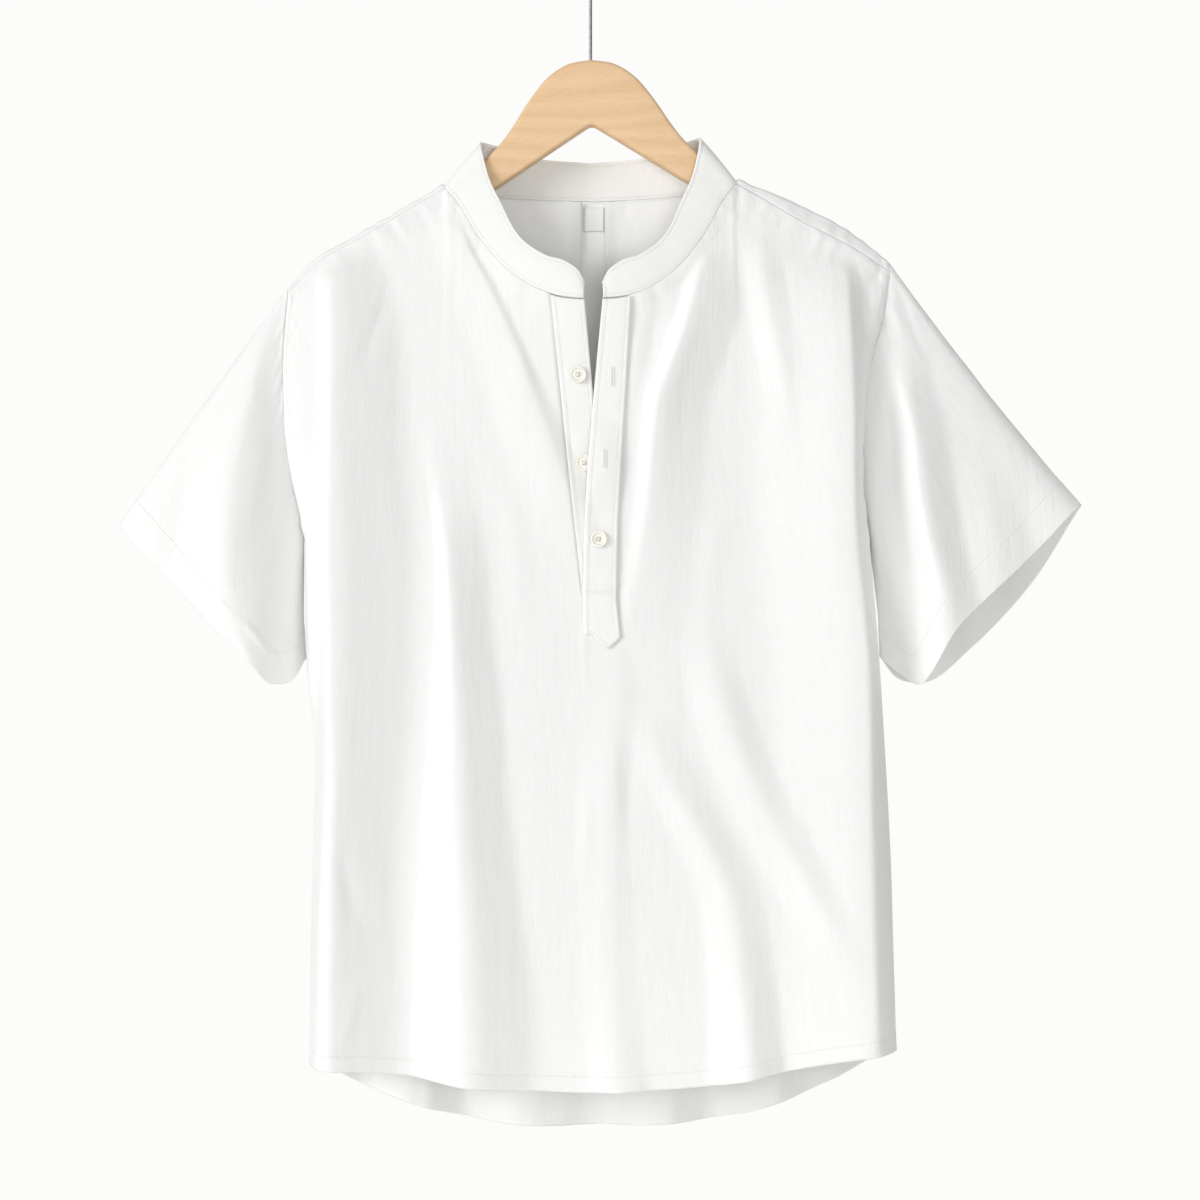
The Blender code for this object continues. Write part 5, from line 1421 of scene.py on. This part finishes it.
def select_faces(item, wanted):
    """Selects in edit mode the faces for which a test holds."""
    choose(item)
    bpy.ops.object.mode_set(mode="EDIT")
    bpy.ops.mesh.select_mode(type="FACE")
    bpy.ops.mesh.select_all(action="DESELECT")
    bpy.ops.object.mode_set(mode="OBJECT")
    for face in item.data.polygons:
        face.select = wanted(face)
    bpy.ops.object.mode_set(mode="EDIT")


def drill(item, centre, radius, depth, sides):
    """Cuts a round hole along Z."""
    bpy.ops.object.select_all(action="DESELECT")
    bpy.ops.mesh.primitive_cylinder_add(
        vertices=sides, radius=radius * MM, depth=depth * MM, location=centre * MM
    )
    cutter = bpy.context.object
    cut = item.modifiers.new("hole", "BOOLEAN")
    cut.operation = "DIFFERENCE"
    cut.object = cutter
    apply_modifiers(item)
    bpy.data.objects.remove(cutter)


def soften(item, width, segments, angle):
    """Rounds an object's edges and shades it smooth."""
    soft = item.modifiers.new("rounded edges", "BEVEL")
    soft.width = width * MM
    soft.segments = segments
    soft.angle_limit = radians(angle)
    apply_modifiers(item)
    bpy.ops.object.shade_smooth_by_angle(angle=radians(angle))


def dress(item, material, node=None):
    """Gives a solid piece its finish and its place in the model."""
    item.data.materials.clear()
    item.data.materials.append(material)
    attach(item, "root")
    if node:
        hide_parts(node)


def make_button(name, x, z, lies_on):
    """A dished button with a rolled rim and four holes, sewn on with crossed thread."""
    bpy.ops.object.select_all(action="DESELECT")
    bpy.ops.mesh.primitive_cylinder_add(
        vertices=BUTTON_SIDES, radius=BUTTON_RADIUS * MM, depth=BUTTON_THICK * MM, end_fill_type="NGON"
    )
    button = bpy.context.object
    button.name = "sewn_" + name
    select_faces(button, lambda face: face.normal.z > 0.9)
    bpy.ops.mesh.inset(thickness=BUTTON_RIM * MM)
    bpy.ops.mesh.inset(thickness=BUTTON_SLOPE * MM, depth=-BUTTON_DISH * MM)
    bpy.ops.object.mode_set(mode="OBJECT")
    for k in range(4):
        turn = pi / 4 + k * pi / 2
        spot = Vector((cos(turn), sin(turn), 0.0)) * HOLE_SPACING
        drill(button, spot, HOLE_RADIUS, BUTTON_THICK * 3, BUTTON_SIDES // 3)
    soften(button, BUTTON_SOFT, 3, 30)

    normal = outward(x, z)
    lift = PLACKET_CLOTH / 2 + LAY_GAP + BUTTON_THICK / 2
    if lies_on == "over":
        lift += float(over_lift(x, z))
    middle = Vector((x, float(panel_y(x, z)), z)) + normal * lift
    choose(button)
    button.rotation_mode = "QUATERNION"
    button.rotation_quaternion = Vector((0, 0, 1)).rotation_difference(normal)
    button.location = middle * MM
    bpy.ops.object.transform_apply(location=True, rotation=True, scale=True)
    dress(button, resin(), name)

    side = normal.cross(Vector((0, 0, 1))).normalized()
    up = side.cross(normal)
    base = middle + normal * (BUTTON_THICK / 2 - BUTTON_DISH + THREAD_RADIUS)
    groups = []
    for turn, height in ((pi / 4, 0.0), (3 * pi / 4, THREAD_RADIUS)):
        ahead = side * cos(turn) + up * sin(turn)
        off = ahead.cross(normal)
        spots = np.array([base + off * strand + normal * height for strand in THREAD_STRANDS])
        directions = np.tile(ahead, (len(spots), 1))
        outs = np.tile(normal, (len(spots), 1))
        groups.append((spots, directions, outs, 2 * (HOLE_SPACING + HOLE_RADIUS), THREAD_RADIUS))
    dress(stitch_mesh("thread_" + name, groups), thread())


def make_board():
    """The hanger's flat board, with softly rounded edges and a hole for the stem."""
    top = along(BOARD_TOP, np.linspace(0, 1, BOARD_FINE))
    half = [tuple(point) for point in top] + list(BOARD_FOOT)
    ring = half + [(0.0, BOARD_APEX_Z)] + [(-x, z) for x, z in reversed(half[1:])]
    c, s = cos(BOARD_TILT), sin(BOARD_TILT)
    peak = BOARD_TOP[0][1]
    ring = [(x * c - (z - peak) * s, x * s + (z - peak) * c + peak) for x, z in ring]
    verts = [(x, -BOARD_THICK / 2, z) for x, z in ring]
    board = add_mesh("board", verts, [range(len(ring))])
    select_faces(board, lambda face: True)
    bpy.ops.mesh.extrude_region_move(TRANSFORM_OT_translate={"value": (0.0, BOARD_THICK * MM, 0.0)})
    bpy.ops.mesh.select_all(action="SELECT")
    bpy.ops.mesh.normals_make_consistent(inside=False)
    bpy.ops.object.mode_set(mode="OBJECT")
    soften(board, BOARD_ROUND, 5, 50)
    drill(board, Vector((0.0, 0.0, peak)), WIRE_RADIUS + STEM_CLEAR, 2 * (STEM_DEPTH + 1), 24)
    bpy.ops.object.shade_smooth_by_angle(angle=radians(30))
    dress(board, beech(), "hanger")


def make_wire():
    """The hook: round wire from the open loop down its stem into the board."""
    middle = HOOK_RADIUS + WIRE_RADIUS
    turns = np.linspace(HOOK_TIP, HOOK_TURN, 4 * HOOK_STEPS)
    route = [(middle * cos(turn), -HOOK_RADIUS + middle * sin(turn)) for turn in turns]
    end = route[-1]
    for share in np.linspace(0, 1, 18)[1:-1]:
        route.append((end[0] * (1 - share) ** 2, end[1] + (STEM_START_Z - end[1]) * share**1.3))
    for z in np.linspace(STEM_START_Z, BOARD_TOP[0][1] - STEM_DEPTH, 30):
        route.append((0.0, z))
    curve = bpy.data.curves.new("wire", "CURVE")
    curve.dimensions = "3D"
    curve.bevel_depth = WIRE_RADIUS * MM
    curve.bevel_resolution = WIRE_SIDES // 2 - 1
    curve.use_fill_caps = True
    line = curve.splines.new("POLY")
    line.points.add(len(route) - 1)
    for point, (x, z) in zip(line.points, route):
        point.co = (x * MM, 0.0, z * MM, 1.0)
    line.points[0].radius = 0.55
    choose(add_object("wire", curve))
    bpy.ops.object.convert(target="MESH")
    bpy.ops.object.shade_smooth_by_angle(angle=radians(50))
    dress(bpy.context.object, steel(), "hook")


# ---- finishes ----


class Socket:
    """A node's output, to which arithmetic adds Math nodes."""

    def __init__(self, graph, output):
        self.graph = graph
        self.output = output

    def math(self, operation, first, second):
        return self.graph.node("Math", {"operation": operation}, {0: first, 1: second})

    def __add__(self, other):
        return self.math("ADD", self, other)

    def __sub__(self, other):
        return self.math("SUBTRACT", self, other)

    def __rsub__(self, other):
        return self.math("SUBTRACT", other, self)

    def __mul__(self, other):
        return self.math("MULTIPLY", self, other)

    __radd__ = __add__
    __rmul__ = __mul__

    def of(self, name):
        """Another output of the same node."""
        return Socket(self.graph, self.output.node.outputs[name])


class Graph:
    """A node tree and the one way in which nodes are added to it."""

    def __init__(self, tree):
        self.tree = tree

    def node(self, kind, settings, inputs):
        """Adds a node of a kind, with its settings first and then its sockets."""
        node = self.tree.nodes.new("ShaderNode" + kind)
        for name, value in settings.items():
            if name == "stops":
                self.stop_colours(node.color_ramp.elements, value)
            else:
                setattr(node, name, value)
        self.set(node, inputs)
        return Socket(self, next(out for out in node.outputs if out.enabled))

    @staticmethod
    def stop_colours(elements, stops):
        while len(elements) < len(stops):
            elements.new(1.0)
        for element, (position, colour) in zip(elements, stops):
            element.position = position
            element.color = (*colour, 1.0)

    def set(self, node, inputs):
        """Gives a node's sockets, by name or by place, their values or links."""
        for name, value in inputs.items():
            shown = [socket for socket in node.inputs if socket.enabled]
            socket = shown[name] if isinstance(name, int) else node.inputs[name]
            if isinstance(value, Socket):
                self.tree.links.new(value.output, socket)
            elif socket.type == "RGBA":
                socket.default_value = (*value, 1.0)
            else:
                socket.default_value = value


class Finish(Graph):
    """A material under construction, round one surface shader."""

    def __init__(self, name):
        self.material = bpy.data.materials.new(name)
        self.material.use_nodes = True
        super().__init__(self.material.node_tree)
        self.shader = self.tree.nodes["Principled BSDF"]

    def place(self):
        return self.node("TexCoord", {}, {}).of("Object")

    def noise(self, place, scale, detail):
        """Noise with its own number of waves a metre along each axis."""
        stretched = self.node("VectorMath", {"operation": "MULTIPLY"}, {0: place, 1: scale})
        return self.node("TexNoise", {}, {"Vector": stretched, "Scale": 1.0, "Detail": detail})

    def mix(self, share, low, high):
        """A colour between two others."""
        return self.node("Mix", {"data_type": "RGBA"}, {0: share, 1: low, 2: high})

    def wave(self, angle):
        return self.node("Math", {"operation": "SINE"}, {0: angle})

    def bump(self, height, strength=1.0, distance=MM):
        inputs = {"Strength": strength, "Distance": distance, "Height": height}
        return self.node("Bump", {}, inputs)

    def surface(self, inputs):
        self.set(self.shader, inputs)
        return self.material


# pitch in metres, bump heights in millimetres, the darker thread's share of the tone
THREAD_PITCH = 0.0006
SHADED = 0.94
WEAVE_HEIGHT = 0.02
SLUB_HEIGHT = 0.06
WEFT_HEIGHT = 0.03
CRUMPLE_HEIGHT = 0.45
FINE_BUMP = 0.0001


@cache
def linen():
    """White linen and cotton: a plain weave with slubs, softly crumpled."""
    finish = Finish("linen")
    place = finish.node("UVMap", {"uv_map": "cloth"}, {})
    parts = finish.node("SeparateXYZ", {}, {0: place})
    warp, weft = parts * (pi / THREAD_PITCH), parts.of("Y") * (pi / THREAD_PITCH)
    weave = finish.wave(warp) * finish.wave(weft)
    slubs = finish.noise(place, (1500.0, 60.0, 1.0), 2.0)
    wefts = finish.noise(place, (50.0, 1300.0, 1.0), 2.0)
    crumple = finish.noise(place, (150.0, 36.0, 1.0), 3.0)
    height = weave * WEAVE_HEIGHT + slubs * SLUB_HEIGHT
    height = height + wefts * WEFT_HEIGHT + crumple * CRUMPLE_HEIGHT
    tone = tuple(bpy.context.scene.shirt_cloth.tone)
    shade = tuple(part * SHADED for part in tone)
    colour = finish.mix(slubs * 0.6 + wefts * 0.4, shade, tone)
    return finish.surface(
        {
            "Base Color": colour, "Roughness": 0.88, "Normal": finish.bump(height),
            "Sheen Weight": 0.15, "Sheen Roughness": 0.5, "Specular IOR Level": 0.25,
            "Subsurface Weight": 0.7, "Subsurface Radius": (1.0, 0.98, 0.94),
            "Subsurface Scale": 0.0015,
        }
    )


@cache
def tape():
    """Off-white woven tape with a fine cross rib."""
    finish = Finish("tape")
    place = finish.node("UVMap", {"uv_map": "cloth"}, {})
    rib = finish.node("SeparateXYZ", {}, {0: place}).of("Y") * (tau / THREAD_PITCH)
    ribs = finish.wave(rib)
    fluff = finish.noise(place, (900.0, 500.0, 1.0), 2.0)
    colour = finish.mix(fluff, (0.87, 0.87, 0.85), (0.93, 0.93, 0.91))
    bump = finish.bump(ribs * 0.04 + fluff * 0.08)
    return finish.surface({"Base Color": colour, "Roughness": 0.6, "Normal": bump, "Sheen Weight": 0.2})


@cache
def thread():
    """White cotton thread with its ply showing."""
    finish = Finish("thread")
    ply = finish.noise(finish.place(), (2500.0, 2500.0, 2500.0), 2.0)
    colour = finish.mix(ply, (0.74, 0.74, 0.72), (0.88, 0.88, 0.86))
    bump = finish.bump(ply, 0.5, FINE_BUMP)
    return finish.surface({"Base Color": colour, "Roughness": 0.62, "Normal": bump})


@cache
def resin():
    """Cream button resin with a faint pearly figure, polished and a little scuffed."""
    finish = Finish("resin")
    place = finish.place()
    figure = finish.noise(place, (260.0, 260.0, 700.0), 3.0)
    scuff = finish.noise(place, (2200.0, 2200.0, 2200.0), 2.0)
    colour = finish.mix(figure, (0.77, 0.74, 0.65), (0.9, 0.88, 0.81))
    return finish.surface(
        {
            "Base Color": colour, "Roughness": scuff * 0.2 + 0.22,
            "Normal": finish.bump(scuff, 0.3, FINE_BUMP), "Coat Weight": 0.3, "Coat Roughness": 0.15,
            "Subsurface Weight": 0.3, "Subsurface Radius": (1.0, 0.9, 0.7), "Subsurface Scale": 0.001,
        }
    )


@cache
def beech():
    """Pale oiled beech: growth rings across the board, and short dark flecks along it."""
    finish = Finish("beech")
    place = finish.place()
    wander = finish.noise(place, (5.0, 12.0, 12.0), 2.0)
    parts = finish.node("SeparateXYZ", {}, {0: place})
    rings = finish.wave(parts.of("Z") * 420.0 + parts.of("Y") * 160.0 + wander * 26.0)
    grain = finish.noise(place, (18.0, 420.0, 520.0), 4.0)
    fleck = finish.noise(place, (160.0, 1500.0, 1500.0), 1.0)
    flecks = finish.node("MapRange", {}, {"Value": fleck, "From Min": 0.6, "From Max": 0.72})
    mixed = rings * 0.22 + grain * 0.7 + 0.12
    colour = finish.mix(mixed, (0.71, 0.46, 0.25), (0.81, 0.575, 0.345))
    colour = finish.mix(flecks * 0.3, colour, (0.6, 0.33, 0.16))
    return finish.surface(
        {
            "Base Color": colour, "Roughness": grain * 0.15 + 0.42,
            "Normal": finish.bump(grain * 0.06 - flecks * 0.05), "Coat Weight": 0.12,
            "Coat Roughness": 0.35,
        }
    )


@cache
def steel():
    """Drawn wire with fine marks along it."""
    finish = Finish("steel")
    marks = finish.noise(finish.place(), (1200.0, 1200.0, 90.0), 3.0)
    colour = finish.mix(marks, (0.2, 0.2, 0.205), (0.34, 0.34, 0.345))
    bump = finish.bump(marks, 0.4, FINE_BUMP)
    return finish.surface(
        {"Base Color": colour, "Metallic": 1.0, "Roughness": marks * 0.2 + 0.25, "Normal": bump}
    )


# ---- settings, operators and panel: metres ----
CAMERA_LENS = 85.0
CAMERA_SENSOR = 36.0
CAMERA_PLACE = (0.0073, -2.19, -0.516)
LIGHT_AIM = Vector((0.0, 0.0, -0.5))
SURROUND_COLOUR = (1.0, 1.0, 0.985)
# how far towards +Y a direction points where the backdrop fades in, and where it is full
BACKDROP_EDGE = (0.45, 0.95)
FLOOR_SIDES = 96
FLOOR_RADIUS = 2.0
FLOOR_Z = -1.45
FLOOR_COLOUR = (0.86, 0.86, 0.85)


class ShirtCloth(bpy.types.PropertyGroup):
    tone: FloatVectorProperty(
        name="Cloth colour", description="Colour of the linen", subtype="COLOR",
        default=(0.885, 0.888, 0.875), min=0.0, max=1.0,
    )
    thickness: FloatProperty(
        name="Cloth thickness", description="Thickness of one layer of linen", default=0.0009,
        unit="LENGTH",
    )
    collar_thickness: FloatProperty(
        name="Collar thickness", description="Thickness of the interlined collar band", default=0.0018,
        unit="LENGTH",
    )
    placket_thickness: FloatProperty(
        name="Placket thickness", description="Thickness of a folded placket strip", default=0.0014,
        unit="LENGTH",
    )


class ShirtStudio(bpy.types.PropertyGroup):
    backdrop: FloatProperty(name="Backdrop", description="Brightness behind the shirt", default=0.975)
    surround: FloatProperty(name="Surround", description="Mean light from all round", default=0.475)
    lean: FloatProperty(name="Lean", description="How much more light comes from the left", default=0.02)
    lift: FloatProperty(name="Lift", description="How much more light comes from above", default=0.0)
    key_power: FloatProperty(
        name="Key light", description="Power of the large soft key", default=620.0, unit="POWER"
    )
    key_size: FloatProperty(
        name="Key size", description="Width of the large soft key", default=5.5, unit="LENGTH"
    )
    key_place: FloatVectorProperty(
        name="Key place", description="Where the large soft key stands", subtype="TRANSLATION",
        unit="LENGTH", default=(-8.0, -6.4, 1.2),
    )
    fill_power: FloatProperty(
        name="Fill light", description="Power of the fill beside the camera", default=23.0, unit="POWER"
    )
    fill_size: FloatProperty(
        name="Fill size", description="Width of the fill beside the camera", default=1.2, unit="LENGTH"
    )
    fill_place: FloatVectorProperty(
        name="Fill place", description="Where the fill stands", subtype="TRANSLATION", unit="LENGTH",
        default=(0.5, -3.0, -0.6),
    )


class SHIRT_OT_body(bpy.types.Operator):
    """Sews the front, the back, the sleeves and the collar"""

    bl_idname = "shirt.body"
    bl_label = "Shirt body"

    def execute(self, context):
        sizes = context.scene.shirt_cloth
        for name in cut_panels():
            thickness = sizes.collar_thickness if name == "collar_band" else sizes.thickness
            rests_on = ["hanger"] if name == "back" else ["linen_back"]
            sew("linen_" + name.replace("_band", ""), dressed()[name], thickness / MM, name)
        return {"FINISHED"}


class SHIRT_OT_placket(bpy.types.Operator):
    """Makes the two strips of the half placket"""

    bl_idname = "shirt.placket"
    bl_label = "Placket"

    def execute(self, context):
        thickness = context.scene.shirt_cloth.placket_thickness / MM
        for name in cut_strips():
            sew("linen_" + name, dressed()[name], thickness, name)
        return {"FINISHED"}


class SHIRT_OT_label(bpy.types.Operator):
    """Sews the blank tape inside the neck"""

    bl_idname = "shirt.label"
    bl_label = "Neck label"

    def execute(self, context):
        panel = panel_of(label_panel())
        panel["normals"] = unit(panel["normals"])
        sew("neck_tape", panel, LABEL_CLOTH, "neck_label", slot="label")
        return {"FINISHED"}


class SHIRT_OT_buttons(bpy.types.Operator):
    """Turns the three buttons and sews them on"""

    bl_idname = "shirt.buttons"
    bl_label = "Buttons"

    def execute(self, context):
        for button in BUTTONS:
            make_button(*button)
        return {"FINISHED"}


class SHIRT_OT_hanger(bpy.types.Operator):
    """Shapes the board and bends the hook"""

    bl_idname = "shirt.hanger"
    bl_label = "Hanger"

    def execute(self, context):
        make_board()
        make_wire()
        return {"FINISHED"}


class SHIRT_OT_stitching(bpy.types.Operator):
    """Lays the rows of stitches and works the buttonholes"""

    bl_idname = "shirt.stitching"
    bl_label = "Stitching"

    def execute(self, context):
        for name, groups in (("stitches", seam_stitches()), ("buttonholes", buttonhole_stitches())):
            dress(stitch_mesh(name, groups), thread())
        return {"FINISHED"}


def add_light(name, place, size, power):
    """A round soft light that shines at the shirt."""
    light = bpy.data.lights.new(name, "AREA")
    light.shape = "DISK"
    light.size = size
    light.energy = power
    lamp = add_object(name, light)
    lamp.location = place
    lamp.rotation_euler = (LIGHT_AIM - lamp.location).to_track_quat("-Z", "Y").to_euler()


class SHIRT_OT_studio(bpy.types.Operator):
    """Sets the floor, the soft lights and the camera"""

    bl_idname = "shirt.studio"
    bl_label = "Studio"

    def execute(self, context):
        settings = context.scene.shirt_studio
        scene = context.scene
        scene.view_settings.view_transform = "Standard"
        world = bpy.data.worlds.new("surround")
        world.use_nodes = True
        graph = Graph(world.node_tree)
        towards = graph.node("SeparateXYZ", {}, {0: graph.node("TexCoord", {}, {})})
        ahead = graph.node(
            "MapRange", {"interpolation_type": "SMOOTHSTEP"},
            {"Value": towards.of("Y"), "From Min": BACKDROP_EDGE[0], "From Max": BACKDROP_EDGE[1]},
        )
        around = settings.surround - settings.lean * towards.of("X") + settings.lift * towards.of("Z")
        graph.set(
            world.node_tree.nodes["Background"],
            {"Color": SURROUND_COLOUR, "Strength": around * (1 - ahead) + settings.backdrop * ahead},
        )
        scene.world = world

        add_light("key", settings.key_place, settings.key_size, settings.key_power)
        add_light("fill", settings.fill_place, settings.fill_size, settings.fill_power)

        camera = bpy.data.cameras.new("camera")
        camera.lens = CAMERA_LENS
        camera.sensor_width = CAMERA_SENSOR
        scene.camera = add_object("camera", camera)
        scene.camera.location = CAMERA_PLACE
        scene.camera.rotation_euler = (pi / 2, 0.0, 0.0)

        bpy.ops.object.select_all(action="DESELECT")
        bpy.ops.mesh.primitive_circle_add(
            vertices=FLOOR_SIDES, radius=FLOOR_RADIUS, fill_type="NGON", location=(0, 0, FLOOR_Z)
        )
        floor = context.object
        floor.name = "floor"
        bpy.ops.object.transform_apply(location=True)
        finish = Finish("floor")
        floor.data.materials.append(finish.surface({"Roughness": 0.7, "Base Color": FLOOR_COLOUR}))
        return {"FINISHED"}


class SHIRT_PT_panel(bpy.types.Panel):
    """Lists the steps that make the shirt"""

    bl_idname = "SHIRT_PT_panel"
    bl_label = "Shirt on a hanger"
    bl_space_type = "VIEW_3D"
    bl_region_type = "UI"
    bl_category = "Shirt"

    def draw(self, context):
        for step in STEPS:
            self.layout.operator(step.bl_idname)
        for group in (context.scene.shirt_cloth, context.scene.shirt_studio):
            for name in group.bl_rna.properties.keys():
                if name not in ("rna_type", "name"):
                    self.layout.prop(group, name)


STEPS = (
    SHIRT_OT_studio, SHIRT_OT_body, SHIRT_OT_placket, SHIRT_OT_stitching, SHIRT_OT_label,
    SHIRT_OT_buttons, SHIRT_OT_hanger,
)
CLASSES = (ShirtCloth, ShirtStudio) + STEPS + (SHIRT_PT_panel,)


def register():
    for entry in CLASSES:
        bpy.utils.register_class(entry)
    bpy.types.Scene.shirt_cloth = PointerProperty(type=ShirtCloth)
    bpy.types.Scene.shirt_studio = PointerProperty(type=ShirtStudio)


def unregister():
    del bpy.types.Scene.shirt_studio
    del bpy.types.Scene.shirt_cloth
    for entry in reversed(CLASSES):
        bpy.utils.unregister_class(entry)


def main():
    register()
    bpy.ops.shirt.studio()
    bpy.ops.shirt.body()
    bpy.ops.shirt.placket()
    bpy.ops.shirt.stitching()
    bpy.ops.shirt.label()
    bpy.ops.shirt.buttons()
    bpy.ops.shirt.hanger()


if __name__ == "__main__":
    main()
